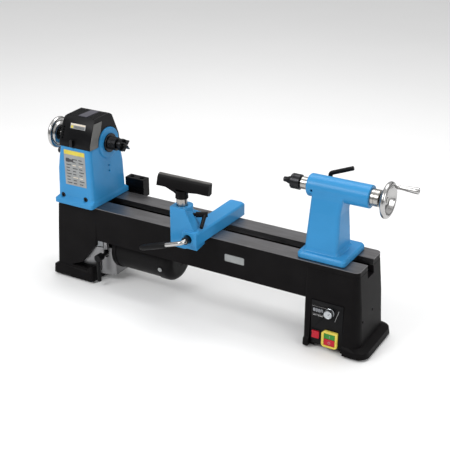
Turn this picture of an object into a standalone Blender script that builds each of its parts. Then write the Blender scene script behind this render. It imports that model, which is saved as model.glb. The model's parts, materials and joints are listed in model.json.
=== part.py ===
"""Midi wood lathe with a variable-speed drive, as an assembly of separate parts.

Frame: metres, +Z up, +X along the bed from headstock to tailstock, -Y the operator's side.
The origin is on the ground, under the middle of the whole machine.
"""

import math

import bmesh
import bpy
from mathutils import Matrix, Vector

# Driving dimensions
GAP = 0.0003  # clearance between parts that touch
BED_TOP = 0.206  # height of the ways over the ground
CENTRE_HEIGHT = 0.152  # spindle axis over the ways, half of the swing
SPINDLE_Z = BED_TOP + CENTRE_HEIGHT
BED_LEFT = -0.432
BED_RIGHT = 0.386
BED_HALF = 0.065  # half of the bed's width
BED_BOTTOM = 0.118  # underside of the beam
WAY_THICK = 0.014
WAY_GAP_HALF = 0.017
BED_WALL = 0.012
FOOT_PAD = 0.006  # rubber under the casting
FOOT_HALF = 0.083
LEG_FOOT_TOP = 0.030

HEAD_LEFT = -0.420
HEAD_RIGHT = -0.310
HEAD_TOP = 0.356  # parting plane between the headstock and its cover
HEAD_FRONT = -0.073
HINGE_Y = 0.0480  # hinge line of the belt cover
HINGE_Z = 0.3590
BEARING_R = 0.026
BOSS_R = 0.0385
SPINDLE_R = 0.0125
THREAD_R = 0.0165  # 33 mm spindle nose
NOSE_END = -0.281

BELT_X = -0.369  # middle of the belt's width
BELT_HALF = 0.0055
BELT_THICK = 0.003
SPINDLE_PULLEY_STEPS = (0.036, 0.030, 0.024)
MOTOR_PULLEY_STEPS = (0.020, 0.026, 0.032)
STEP_WIDTH = 0.014
MOTOR_Z = 0.0885
MOTOR_R = 0.055
MOTOR_LEFT = -0.278
MOTOR_RIGHT = -0.105

BOLT_X = -0.004  # clamp bolt and cam shaft of the banjo
ARM_LEFT = -0.020
ARM_RIGHT = 0.025
ARM_FRONT = -0.127
ARM_REAR = 0.093
ARM_TOP = 0.237
CAM_Z = 0.2200
POST_X = -0.0365
POST_Y = -0.097
POST_R = 0.0125
BOSS_TOP = 0.287
LOCK_Z = 0.262  # screw that holds the tool-rest post
LOCK_ANGLE = math.radians(32)
LOCK_TURN = (0.0, math.pi / 2, LOCK_ANGLE)
LEVER_PLANE = 0.150  # distance of the cam levers from the bed's middle

TAIL_LEFT = 0.2335
TAIL_RIGHT = 0.349
BARREL_LEFT = 0.2335
BARREL_RIGHT = 0.3785
BARREL_R = 0.0255
QUILL_R = 0.014
QUILL_FRONT = 0.2155
WHEEL_R = 0.0405
TAIL_SHAFT_X = 0.262

PANEL_Y = -0.0700
BLUE = ((0.05, 0.31, 0.68), 0.35, 0.0)
BLACK = ((0.012, 0.012, 0.013), 0.45, 0.0)
BLACK_PLASTIC = ((0.015, 0.015, 0.016), 0.5, 0.0)
GREY_PLASTIC = ((0.20, 0.20, 0.21), 0.5, 0.0)
STEEL = ((0.55, 0.55, 0.56), 0.3, 1.0)
DARK_STEEL = ((0.03, 0.03, 0.032), 0.35, 1.0)
CHROME = ((0.75, 0.75, 0.76), 0.12, 1.0)
ALUMINIUM = ((0.62, 0.63, 0.64), 0.4, 1.0)
RUBBER = ((0.02, 0.02, 0.02), 0.8, 0.0)
YELLOW = ((0.85, 0.65, 0.03), 0.45, 0.0)
GREEN = ((0.05, 0.40, 0.06), 0.4, 0.0)
RED = ((0.65, 0.02, 0.03), 0.4, 0.0)
GLASS = ((0.02, 0.03, 0.05), 0.1, 0.0)

# Turns the mesh's own Z axis onto the named direction
ALONG = {
    "+X": (0.0, math.pi / 2, 0.0),
    "-X": (0.0, -math.pi / 2, 0.0),
    "+Y": (-math.pi / 2, 0.0, 0.0),
    "-Y": (math.pi / 2, 0.0, 0.0),
    "+Z": (0.0, 0.0, 0.0),
    "-Z": (math.pi, 0.0, 0.0),
}


def clear_scene():
    for obj in list(bpy.data.objects):
        bpy.data.objects.remove(obj, do_unlink=True)


def new_collection(name):
    group = bpy.data.collections.new(name)
    bpy.context.scene.collection.children.link(group)
    return group


clear_scene()
PARTS = new_collection("wood_lathe")
CUTTERS = new_collection("cutters")


# Tools


def add_finish(obj, finish):
    colour, roughness, metallic = finish
    material = bpy.data.materials.new(obj.name + "_finish")
    material.use_nodes = True
    shader = material.node_tree.nodes["Principled BSDF"]
    shader.inputs["Base Color"].default_value = (*colour, 1.0)
    shader.inputs["Roughness"].default_value = roughness
    shader.inputs["Metallic"].default_value = metallic
    obj.data.materials.clear()
    obj.data.materials.append(material)


def add_part(name, data, finish, place=(0, 0, 0), along="+Z"):
    obj = bpy.data.objects.new(name, data)
    PARTS.objects.link(obj)
    obj.location = place
    obj.rotation_euler = ALONG[along]
    add_finish(obj, finish)
    return obj


def from_bmesh(name, shape, finish, place=(0, 0, 0), along="+Z"):
    bmesh.ops.recalc_face_normals(shape, faces=shape.faces)
    mesh = bpy.data.meshes.new(name)
    shape.to_mesh(mesh)
    shape.free()
    return add_part(name, mesh, finish, place, along)


def smooth(obj, degrees=35.0):
    obj.data.shade_smooth()
    obj.data.set_sharp_from_angle(angle=math.radians(degrees))
    return obj


def box(name, low, high, finish, place=(0, 0, 0)):
    """A box between two corners, which are counted from place."""
    low, high = Vector(low), Vector(high)
    shape = bmesh.new()
    bmesh.ops.create_cube(shape, size=1.0)
    bmesh.ops.scale(shape, vec=high - low, verts=shape.verts)
    bmesh.ops.translate(shape, vec=(low + high) / 2, verts=shape.verts)
    return from_bmesh(name, shape, finish, place)


def rod(name, radius, start, length, along, finish, tip_radius=None, segments=18):
    """A cylinder or cone that starts at start and runs for length."""
    shape = bmesh.new()
    bmesh.ops.create_cone(
        shape,
        cap_ends=True,
        segments=segments,
        radius1=radius,
        radius2=radius if tip_radius is None else tip_radius,
        depth=length,
        matrix=Matrix.Translation((0, 0, length / 2)),
    )
    return smooth(from_bmesh(name, shape, finish, start, along))


def turned(name, profile, place, along, finish, steps=20, ring=False):
    """Turns (radius, height) points, listed upwards along the outer side. A ring closes on itself."""
    points = [(radius, 0.0, height) for radius, height in reversed(profile)]
    edges = [(index, index + 1) for index in range(len(points) - 1)]
    if ring:
        edges.append((len(points) - 1, 0))
    mesh = bpy.data.meshes.new(name)
    mesh.from_pydata(points, edges, [])
    obj = add_part(name, mesh, finish, place, along)
    screw = obj.modifiers.new("Turn", "SCREW")
    screw.steps = steps
    screw.render_steps = steps
    screw.use_merge_vertices = True
    screw.merge_threshold = 0.00001
    screw.use_smooth_shade = True
    return obj


def loft(name, sections, finish, place=(0, 0, 0)):
    """Skins a row of outlines that have the same number of points, and caps both ends."""
    shape = bmesh.new()
    rings = [[shape.verts.new(point) for point in section] for section in sections]
    count = len(rings[0])
    for lower, upper in zip(rings, rings[1:]):
        for index in range(count):
            after = (index + 1) % count
            shape.faces.new((lower[index], lower[after], upper[after], upper[index]))
    shape.faces.new(reversed(rings[0]))
    shape.faces.new(rings[-1])
    return smooth(from_bmesh(name, shape, finish, place), 30.0)


def rounded_outline(u_range, v_range, radii, steps=4):
    """A rectangle with a radius for each corner: low-low, high-low, high-high, low-high."""
    (u0, u1), (v0, v1) = u_range, v_range
    if not isinstance(radii, tuple):
        radii = (radii,) * 4
    corners = ((u0, v0, 1, 1), (u1, v0, -1, 1), (u1, v1, -1, -1), (u0, v1, 1, -1))
    points = []
    for index, ((u, v, du, dv), radius) in enumerate(zip(corners, radii)):
        middle = (u + du * radius, v + dv * radius)
        first = math.pi + index * math.pi / 2
        for step in range(steps + 1):
            angle = first + step / steps * math.pi / 2
            points.append(
                (
                    middle[0] + radius * math.cos(angle),
                    middle[1] + radius * math.sin(angle),
                )
            )
    return points


def stack(name, levels, finish, place=(0, 0, 0), steps=4):
    """Lofts rounded rectangles in plan. A level is (height, x range, y range, corner radii)."""
    sections = [
        [(x, y, height) for x, y in rounded_outline(across, deep, radii, steps)]
        for height, across, deep, radii in levels
    ]
    return loft(name, sections, finish, place)


def plate(name, outline, low, high, normal, finish, holes=()):
    """A flat outline between two planes. Normal X takes (y, z) points, Y takes (x, z), Z takes (x, y)."""
    curve = bpy.data.curves.new(name, "CURVE")
    curve.dimensions = "2D"
    curve.fill_mode = "BOTH"
    curve.extrude = (high - low) / 2
    for points in (outline, *holes):
        spline = curve.splines.new("POLY")
        spline.points.add(len(points) - 1)
        for point, (u, v) in zip(spline.points, points):
            point.co = (u, v, 0.0, 1.0)
        spline.use_cyclic_u = True
    guide = bpy.data.objects.new(name + "_outline", curve)
    PARTS.objects.link(guide)
    middle = (low + high) / 2
    # Columns are the directions of the outline's u and v and of its thickness
    frames = {
        "X": Matrix(((0, 0, 1, middle), (1, 0, 0, 0), (0, 1, 0, 0), (0, 0, 0, 1))),
        "Y": Matrix(((1, 0, 0, 0), (0, 0, -1, middle), (0, 1, 0, 0), (0, 0, 0, 1))),
        "Z": Matrix.Translation((0, 0, middle)),
    }
    return mesh_of_curve(name, guide, frames[normal], finish)


def mesh_of_curve(name, guide, frame, finish):
    bpy.context.view_layer.update()
    graph = bpy.context.evaluated_depsgraph_get()
    mesh = bpy.data.meshes.new_from_object(guide.evaluated_get(graph))
    bpy.data.objects.remove(guide, do_unlink=True)
    shape = bmesh.new()
    shape.from_mesh(mesh)
    bpy.data.meshes.remove(mesh)
    bmesh.ops.remove_doubles(shape, verts=shape.verts, dist=0.00001)
    bmesh.ops.transform(shape, matrix=frame, verts=shape.verts)
    return from_bmesh(name, shape, finish)


def tube(name, points, radius, finish, resolution=3):
    """A round bar along a path, with flat ends."""
    curve = bpy.data.curves.new(name, "CURVE")
    curve.dimensions = "3D"
    curve.bevel_depth = radius
    curve.bevel_resolution = resolution
    curve.use_fill_caps = True
    spline = curve.splines.new("POLY")
    spline.points.add(len(points) - 1)
    for point, place in zip(spline.points, points):
        point.co = (*place, 1.0)
    guide = bpy.data.objects.new(name + "_path", curve)
    PARTS.objects.link(guide)
    return smooth(mesh_of_curve(name, guide, Matrix.Identity(4), finish), 50.0)


def bend(start, corner, end, radius, steps=5):
    """Points of an arc that rounds a corner between two straight runs."""
    start, corner, end = Vector(start), Vector(corner), Vector(end)
    back = (start - corner).normalized()
    ahead = (end - corner).normalized()
    half = back.angle(ahead) / 2
    middle = corner + (back + ahead).normalized() * radius / math.sin(half)
    first = corner + back * radius / math.tan(half) - middle
    last = corner + ahead * radius / math.tan(half) - middle
    turns = [first.slerp(last, step / steps).normalized() for step in range(steps + 1)]
    return [middle + turn * radius for turn in turns]


def to_helper(obj):
    for group in list(obj.users_collection):
        group.objects.unlink(obj)
    CUTTERS.objects.link(obj)
    obj.hide_render = True
    obj.display_type = "WIRE"


def combine(obj, others, operation):
    for other in others:
        modifier = obj.modifiers.new(other.name, "BOOLEAN")
        modifier.operation = operation
        modifier.object = other
        modifier.solver = "EXACT"
        to_helper(other)
    return obj


def cut(obj, *others):
    return combine(obj, others, "DIFFERENCE")


def unite(obj, *others):
    return combine(obj, others, "UNION")


def round_edges(obj, width, segments=1, degrees=40.0):
    bevel = obj.modifiers.new("Edges", "BEVEL")
    bevel.width = width
    bevel.segments = segments
    bevel.limit_method = "ANGLE"
    bevel.angle_limit = math.radians(degrees)
    return obj


# Bed


def leg_arch_outline():
    """The opening in the left leg's front, between the leg and its foot."""
    return [
        (-0.392, 0.037),
        (-0.356, 0.052),
        (-0.317, 0.104),
        (-0.290, 0.104),
        (-0.290, 0.031),
        (-0.312, 0.031),
        (-0.321, 0.045),
        (-0.331, 0.045),
        (-0.339, 0.037),
    ]


def make_bed():
    top_round = (0.006, 0.012, 0.012, 0.006)
    span = (BED_LEFT + 0.002, BED_RIGHT)
    deep = (-BED_HALF, BED_HALF)
    bed = stack(
        "bed_casting",
        [(BED_BOTTOM, span, deep, top_round), (BED_TOP, span, deep, top_round)],
        BLACK,
    )
    below_ways = BED_TOP - WAY_THICK
    left_leg = stack(
        "left_leg",
        [
            (FOOT_PAD + 0.001, (-0.437, -0.321), (-0.078, 0.078), 0.008),
            (BED_BOTTOM, (-0.4355, -0.312), (-0.068, 0.068), 0.006),
            (below_ways, (BED_LEFT, -0.309), (-0.0645, 0.0645), 0.006),
        ],
        BLACK,
    )
    left_foot = stack(
        "left_foot",
        [
            (FOOT_PAD, (-0.448, -0.320), (-FOOT_HALF, FOOT_HALF), 0.010),
            (LEG_FOOT_TOP - 0.004, (-0.447, -0.320), (-0.0815, 0.0815), 0.010),
            (LEG_FOOT_TOP + 0.002, (-0.4360, -0.322), (-0.077, 0.077), 0.008),
        ],
        BLACK,
    )
    foot_bump = box("foot_bump", (-0.340, -0.0805, 0.028), (-0.3215, -0.068, 0.052), BLACK)
    right_round = (0.008, 0.026, 0.026, 0.008)
    right_leg = stack(
        "right_leg",
        [
            (FOOT_PAD + 0.001, (0.2665, 0.401), (-0.078, 0.078), right_round),
            (BED_BOTTOM, (0.264, 0.394), (-0.0710, 0.0710), (0.006, 0.018, 0.018, 0.006)),
            (below_ways, (0.262, 0.3865), (-0.0655, 0.0655), top_round),
        ],
        BLACK,
    )
    right_foot = stack(
        "right_foot",
        [
            (FOOT_PAD, (0.266, 0.420), (-FOOT_HALF, FOOT_HALF), right_round),
            (0.020, (0.266, 0.418), (-0.082, 0.082), right_round),
            (0.026, (0.268, 0.400), (-0.077, 0.077), right_round),
        ],
        BLACK,
    )
    unite(bed, left_leg, left_foot, foot_bump, right_leg, right_foot)
    inner = BED_HALF - BED_WALL
    channel = box("channel", (-0.424, -inner, 0.100), (0.376, inner, below_ways), BLACK)
    left_hollow = stack(
        "left_hollow",
        [
            (-0.010, (-0.426, -0.329), (-0.070, 0.070), 0.010),
            (0.1795, (-0.423, -0.322), (-0.0525, 0.0525), 0.004),
        ],
        BLACK,
    )
    side_window = box("side_window", (-0.345, -0.062, 0.014), (-0.300, 0.062, 0.125), BLACK)
    right_hollow = stack(
        "right_hollow",
        [
            (-0.010, (0.2755, 0.391), (-0.0685, 0.0685), 0.012),
            (0.1795, (0.272, 0.375), (-0.0525, 0.0525), 0.004),
        ],
        BLACK,
    )
    arch = plate("leg_arch", leg_arch_outline(), -0.100, -0.050, "Y", BLACK)
    slot = box(
        "way_gap", (-0.345, -WAY_GAP_HALF, 0.174), (0.430, WAY_GAP_HALF, 0.230), BLACK
    )
    belt_hole = box("belt_hole", (-0.402, -0.044, 0.180), (-0.336, 0.044, 0.230), BLACK)
    recess = box("panel_recess", (0.281, -0.100, -0.010), (0.360, PANEL_Y, 0.122), BLACK)
    window = box("panel_window", (0.287, -0.090, 0.016), (0.354, -0.050, 0.114), BLACK)
    relief = box("foot_relief", (0.292, -0.100, -0.010), (0.364, 0.100, 0.011), BLACK)
    lead_hole = rod("inlet_hole", 0.0142, (0.330, 0.100, 0.075), 0.060, "-Y", BLACK)
    screws = [
        rod(f"end_hole_{index}", 0.003, (0.430, y, z), 0.060, "-X", BLACK, segments=12)
        for index, (y, z) in enumerate(((0.004, 0.090), (-0.050, 0.084)))
    ]
    cut(bed, channel, left_hollow, side_window, right_hollow, arch, slot, belt_hole)
    cut(bed, recess, window, relief, lead_hole, *screws)
    ribs = [
        box(f"rib_{index}", (x, -inner - 0.001, 0.120), (x + 0.010, inner + 0.001, 0.160), BLACK)
        for index, x in enumerate((-0.075, 0.120))
    ]
    unite(bed, *ribs)


def make_feet():
    spots = {
        "left_front": (-0.4180, -0.0600),
        "left_rear": (-0.4180, 0.0600),
        "right_front": (0.3780, -0.0640),
        "right_rear": (0.3780, 0.0640),
    }
    for name, (x, y) in spots.items():
        rod("foot_" + name, 0.0125, (x, y, 0.0), FOOT_PAD - GAP, "+Z", RUBBER, 0.0120)


# Headstock


def make_headstock():
    base = (-0.425, -0.309)
    low = BED_TOP + GAP
    head = stack(
        "headstock_casting",
        [
            (low, base, (-0.082, 0.075), 0.006),
            (0.217, base, (-0.082, 0.075), 0.006),
            (0.224, (-0.419, -0.310), (-0.074, 0.066), 0.008),
        ],
        BLUE,
    )
    body = stack(
        "head_body",
        [
            (0.216, (HEAD_LEFT, HEAD_RIGHT), (HEAD_FRONT, 0.063), 0.009),
            (0.295, (-0.416, -0.311), (HEAD_FRONT, 0.060), 0.009),
            (0.325, (-0.411, -0.3115), (HEAD_FRONT, 0.054), 0.009),
            (HEAD_TOP, (-0.404, -0.312), (HEAD_FRONT, 0.046), 0.009),
        ],
        BLUE,
    )
    front_boss = rod("boss_right", BOSS_R, (-0.334, 0, SPINDLE_Z), 0.026, "+X", BLUE, segments=24)
    rear_boss = rod("boss_left", BOSS_R, (-0.410, 0, SPINDLE_Z), 0.018, "+X", BLUE, segments=24)
    unite(head, body, front_boss, rear_boss)
    hollow = box("head_hollow", (-0.392, -0.060, 0.200), (-0.334, 0.044, 0.420), BLUE)
    front_seat = rod(
        "front_seat", BEARING_R + GAP, (-0.340, 0, SPINDLE_Z), 0.0155, "+X", BLUE, segments=32
    )
    rear_seat = rod(
        "rear_seat", BEARING_R + GAP, (-0.4085, 0, SPINDLE_Z), 0.020, "+X", BLUE, segments=32
    )
    shaft_hole = rod("shaft_hole", 0.019, (-0.430, 0, SPINDLE_Z), 0.140, "+X", BLUE)
    tongue_gap = WAY_GAP_HALF - 0.0015
    tongue = box("head_tongue", (-0.332, -tongue_gap, 0.196), (-0.311, tongue_gap, 0.210), BLUE)
    unite(head, tongue)
    bolt_holes = [
        rod(f"bolt_hole_{index}", 0.0062, (x, -0.100, 0.2265), 0.034, "+Y", BLUE, segments=16)
        for index, x in enumerate((-0.403, -0.334))
    ]
    set_holes = [
        rod(f"set_hole_{index}", 0.0028, (-0.300, -0.002, z), 0.016, "-X", BLUE, segments=12)
        for index, z in enumerate((0.284, 0.298))
    ]
    pin_hole = rod("pin_hole", 0.0053, (-0.430, -0.045, 0.332), 0.050, "+X", BLUE, segments=16)
    cut(head, hollow, front_seat, rear_seat, shaft_hole, pin_hole, *bolt_holes, *set_holes)
    for side, x in (("left", -0.403), ("right", -0.334)):
        bolt = rod(
            f"head_bolt_{side}", 0.0055, (x, -0.0663, 0.2265), 0.0070, "-Y", DARK_STEEL, segments=16
        )
        hex_hole = rod(f"hex_{side}", 0.0028, (x, -0.080, 0.2265), 0.009, "+Y", BLACK, segments=6)
        cut(bolt, hex_hole)
    bearing_profile = [
        (BEARING_R, 0.0),
        (BEARING_R, 0.015),
        (SPINDLE_R + 0.0042, 0.015),
        (SPINDLE_R + 0.0042, 0.0),
    ]
    for name, x in (("front_bearing", -0.3398), ("rear_bearing", -0.4082)):
        turned(name, bearing_profile, (x, 0, SPINDLE_Z), "+X", STEEL, ring=True)


def cover_outline(inset=0.0):
    """The cover's end view as (y, z) points."""
    return [
        (HEAD_FRONT + inset, HEAD_TOP + GAP - inset),
        (-0.0730 + inset, 0.366),
        (-0.0530 + inset, 0.418 - inset / 2),
        (-0.0450 + inset, 0.428 - inset),
        (0.0100 - inset / 2, 0.430 - inset),
        (0.0200 - inset, 0.424 - inset / 2),
        (0.0440 - inset, 0.370),
        (0.0455 - inset, HEAD_TOP + GAP - inset),
    ]


def make_cover():
    left, right = -0.405, -0.3115
    shade = 0.0040
    sections = []
    for x, rise in ((left, 0.006), (left + 0.008, 0.0), (right, 0.0)):
        sections.append(
            [(x, y * (1 - rise * 4), z - rise * (z > 0.40)) for y, z in cover_outline()]
        )
    cover = loft("belt_cover", sections, BLACK_PLASTIC)
    inside = [[(x, y, z) for y, z in cover_outline(shade)] for x in (left + shade, right - shade)]
    hollow = loft("cover_hollow", inside, BLACK_PLASTIC)
    bottom = box("cover_bottom", (-0.43, -0.09, 0.340), (-0.30, 0.06, HEAD_TOP + GAP), BLACK)
    arches = [
        rod(f"cover_arch_{index}", BOSS_R + 0.0012, (x, 0, SPINDLE_Z), 0.030, "+X", BLACK, segments=24)
        for index, x in enumerate((-0.4250, -0.3300))
    ]
    vents = []
    for first, last in ((-0.393, -0.368), (-0.3345, -0.322)):
        for row in range(6):
            y = -0.040 + row * 0.009
            vents.append(box(f"vent_{first}_{row}", (first, y, 0.415), (last, y + 0.004, 0.440), BLACK))
    panel_seat = box("panel_seat", (-0.363, -0.0440, 0.4275), (-0.338, 0.0085, 0.440), BLACK)
    cut(cover, hollow, bottom, *arches, panel_seat, *vents)
    box("cover_top_panel", (-0.3627, -0.0435, 0.4279), (-0.3383, 0.0080, 0.4305), GREY_PLASTIC)
    side = [
        (-0.0725, 0.3570),
        (-0.0725, 0.3655),
        (-0.0525, 0.4175),
        (-0.0220, 0.4175),
        (-0.0300, 0.3920),
        (-0.0400, 0.3770),
        (-0.0420, 0.3570),
    ]
    plate("cover_side_plate", side, right + GAP, right + 0.0018, "X", GREY_PLASTIC)
    knuckles = [
        rod(f"knuckle_{index}", 0.0034, (x, HINGE_Y, HINGE_Z), 0.016, "+X", BLACK, segments=16)
        for index, x in enumerate((-0.392, -0.345))
    ]
    unite(cover, *knuckles)
    latch = box("cover_latch", (-0.004, -0.0065, -0.009), (0.004, -0.0003, 0.009), DARK_STEEL)
    latch.location = (-0.364, HEAD_FRONT, 0.3680)
    round_edges(latch, 0.0012)


def make_spindle():
    left = -0.4620
    profile = [
        (0.0052, 0.0),
        (0.0100, 0.0),
        (0.0100, 0.045),
        (SPINDLE_R, 0.045),
        (SPINDLE_R, 0.1480),
        (0.0160, 0.1485),
        (0.0160, 0.1520),
        (THREAD_R, 0.1525),
        (THREAD_R, NOSE_END - left - 0.001),
        (THREAD_R - 0.001, NOSE_END - left),
        (0.0090, NOSE_END - left),
        (0.0078, NOSE_END - left - 0.060),
        (0.0052, NOSE_END - left - 0.062),
    ]
    turned("spindle", profile, (left, 0, SPINDLE_Z), "+X", STEEL, ring=True)
    collar = [
        (0.0230, 0.0),
        (0.0235, 0.0005),
        (0.0235, 0.0040),
        (0.0225, 0.0048),
        (THREAD_R + GAP, 0.0048),
        (THREAD_R + GAP, 0.0),
    ]
    turned("spindle_collar", collar, (-0.3075, 0, SPINDLE_Z), "+X", DARK_STEEL, ring=True)
    pulley = stepped_pulley(SPINDLE_PULLEY_STEPS, SPINDLE_R + GAP)
    turned("spindle_pulley", pulley, (BELT_X - 1.5 * STEP_WIDTH, 0, SPINDLE_Z), "+X", ALUMINIUM, ring=True)
    make_spur_centre()
    handwheel("outboard_handwheel", -0.4425, "-X", 0.0100 + GAP, 0.0225)
    hub = [
        (0.0270, 0.0),
        (0.0280, 0.002),
        (0.0280, 0.012),
        (0.0230, 0.0150),
        (0.0130, 0.0150),
        (0.0130, 0.0),
    ]
    turned("spindle_lock_ring", hub, (-0.4250, 0, SPINDLE_Z), "-X", DARK_STEEL, ring=True)


def stepped_pulley(steps, bore):
    """Flat-bottomed steps with a thin lip between them."""
    profile = []
    for index, radius in enumerate(steps):
        start = index * STEP_WIDTH
        profile += [
            (radius + 0.0020, start),
            (radius, start + 0.0016),
            (radius, start + STEP_WIDTH - 0.0001),
        ]
    end = len(steps) * STEP_WIDTH
    profile += [
        (steps[-1] + 0.0020, end + 0.0010),
        (bore, end + 0.0010),
        (bore, 0.0),
    ]
    return profile


def make_spur_centre():
    place = (NOSE_END - 0.055, 0, SPINDLE_Z)
    profile = [
        (0.0, 0.0),
        (0.0072, 0.0),
        (0.0084, 0.0553),
        (0.0110, 0.0560),
        (0.0110, 0.0620),
        (0.0155, 0.0640),
        (0.0155, 0.0700),
        (0.0042, 0.0710),
        (0.0036, 0.0790),
        (0.0, 0.0860),
    ]
    centre = turned("spur_centre", profile, place, "+X", DARK_STEEL, steps=20)
    prongs = []
    for index in range(4):
        prong = box(f"prong_{index}", (0.0650, -0.0014, 0.0040), (0.0810, 0.0014, 0.0148), BLACK)
        prong.location = place
        prong.rotation_euler = (math.pi / 4 + index * math.pi / 2, 0, 0)
        prongs.append(prong)
    unite(centre, *prongs)


def handwheel(name, x, along, bore, depth):
    """A dished wheel with a rolled rim. Its hub starts at x, and its rim lies depth further out."""
    rim = 0.0058
    middle = (WHEEL_R - rim, depth)
    arc = []
    for step in range(8):
        turn = math.radians(-135 + step * 40)
        arc.append((middle[0] + rim * math.cos(turn), middle[1] + rim * math.sin(turn)))
    profile = [
        (0.0125, 0.0),
        (0.0125, depth - 0.0140),
        (0.0220, depth - 0.0125),
        (0.0295, depth - 0.0075),
        *arc,
        (0.0270, depth - 0.0040),
        (0.0200, depth - 0.0087),
        (0.0105, depth - 0.0100),
        (0.0105, depth - 0.0030),
        (bore, depth - 0.0030),
        (bore, 0.0),
    ]
    return turned(name, profile, (x, 0, SPINDLE_Z), along, CHROME, steps=24, ring=True)


# Drive


def belt_outline(offset):
    """The loop round both pulleys as (y, z) points, this far outside their middle steps."""
    upper = SPINDLE_PULLEY_STEPS[1] + offset
    lower = MOTOR_PULLEY_STEPS[1] + offset
    tilt = math.asin((upper - lower) / (SPINDLE_Z - MOTOR_Z))
    points = []
    for centre, radius, first in ((SPINDLE_Z, upper, -tilt), (MOTOR_Z, lower, math.pi + tilt)):
        sweep = math.pi + 2 * tilt if radius == upper else math.pi - 2 * tilt
        for step in range(13):
            turn = first + sweep * step / 12
            points.append((radius * math.cos(turn), centre + radius * math.sin(turn)))
    return points


def make_drive():
    outer = belt_outline(0.0006 + BELT_THICK)
    inner = belt_outline(0.0006)
    low, high = BELT_X - BELT_HALF, BELT_X + BELT_HALF
    plate("drive_belt", outer, low, high, "X", RUBBER, holes=(inner,))
    shaft = [
        (0.0, 0.0),
        (0.0065, 0.0),
        (0.0070, 0.0005),
        (0.0070, 0.1190),
        (0.0, 0.1190),
    ]
    turned("motor_shaft", shaft, (-0.3960, 0, MOTOR_Z), "+X", STEEL, steps=20)
    pulley = stepped_pulley(MOTOR_PULLEY_STEPS, 0.0070 + GAP)
    turned("motor_pulley", pulley, (BELT_X - 1.5 * STEP_WIDTH, 0, MOTOR_Z), "+X", ALUMINIUM, ring=True)
    can = [
        (0.0, 0.0060),
        (0.0110, 0.0060),
        (0.0110, 0.0),
        (0.0500, 0.0),
        (MOTOR_R, 0.0020),
        (MOTOR_R, 0.0120),
        (MOTOR_R - 0.0020, 0.0125),
        (MOTOR_R - 0.0020, 0.1360),
        (0.0, 0.1360),
    ]
    turned("motor_body", can, (MOTOR_LEFT, 0, MOTOR_Z), "+X", BLACK, steps=24)
    start = MOTOR_LEFT + 0.006 + 0.130 + GAP
    depth = MOTOR_RIGHT - start
    bell = [(0.0, 0.0), (MOTOR_R, 0.0), (MOTOR_R, depth - 0.020)]
    for step in range(1, 6):
        turn = math.radians(step * 18)
        bell.append((MOTOR_R - 0.020 + 0.020 * math.cos(turn), depth - 0.020 + 0.020 * math.sin(turn)))
    bell.append((0.0, depth))
    end_bell = turned("motor_end_bell", bell, (start, 0, MOTOR_Z), "+X", BLACK, steps=24)
    holders = []
    for index, turn in enumerate((math.radians(190), math.radians(10))):
        out = Vector((0.0, math.cos(turn), math.sin(turn)))
        holder = rod(f"brush_holder_{index}", 0.0080, (0, 0, 0), 0.0090, "+Z", BLACK, segments=20)
        holder.location = Vector((start + 0.010, 0.0, MOTOR_Z)) + out * (MOTOR_R - 0.0075)
        holder.rotation_euler = out.to_track_quat("Z", "Y").to_euler()
        holders.append(holder)
    unite(end_bell, *holders)
    make_motor_plate()


def make_motor_plate():
    """A folded bracket: a flange for the motor, and a front wing with the tension slot."""
    outside = [
        (-0.2790, 0.048),
        (-0.2790, -0.036),
        (-0.2860, -0.0400),
        (-0.3500, -0.0570),
        (-0.3980, -0.0500),
    ]
    inside = [
        (-0.3975, -0.0460),
        (-0.3505, -0.0527),
        (-0.2880, -0.0360),
        (-0.2832, -0.0330),
        (-0.2832, 0.048),
    ]
    bracket = plate("motor_bracket", outside + inside, 0.018, 0.138, "Z", ALUMINIUM)
    hub_hole = rod("bracket_hole", 0.0150, (-0.300, 0, MOTOR_Z), 0.040, "+X", BLACK)
    trim = box("bracket_trim", (-0.420, -0.070, 0.092), (-0.2835, -0.020, 0.200), BLACK)
    slot = plate(
        "bracket_slot",
        rounded_outline((-0.3235, -0.3145), (0.026, 0.062), 0.0044),
        -0.070,
        -0.030,
        "Y",
        BLACK,
    )
    stud_slot = plate(
        "stud_slot",
        rounded_outline((-0.3085, -0.2955), (0.066, 0.088), 0.0060),
        -0.070,
        -0.030,
        "Y",
        BLACK,
    )
    cut(bracket, hub_hole, trim, slot, stud_slot)
    pillar = rod("motor_pillar", 0.0072, (-0.3020, -0.0440, 0.0905), 0.0560, "+Z", STEEL)
    unite(bracket, pillar)
    head = rod("motor_lock_lever", 0.0095, (-0.3020, -0.0640, 0.0770), 0.018, "-Y", BLACK_PLASTIC)
    arm = tube(
        "lock_arm",
        [(-0.3020, -0.0760, 0.0760), (-0.3015, -0.0790, 0.0500), (-0.3010, -0.0790, 0.0140)],
        0.0048,
        BLACK_PLASTIC,
    )
    stud = rod("motor_lock_stud", 0.0040, (-0.3020, -0.0680, 0.0770), 0.0300, "+Y", STEEL, segments=16)
    unite(head, arm, stud)


def make_index_pin():
    profile = [
        (0.0, 0.0),
        (0.0050, 0.0),
        (0.0050, 0.0240),
        (0.0075, 0.0245),
        (0.0080, 0.0260),
        (0.0080, 0.0340),
        (0.0070, 0.0350),
        (0.0, 0.0350),
    ]
    turned("index_pin", profile, (-0.3935, -0.045, 0.332), "-X", DARK_STEEL, steps=16)


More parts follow.
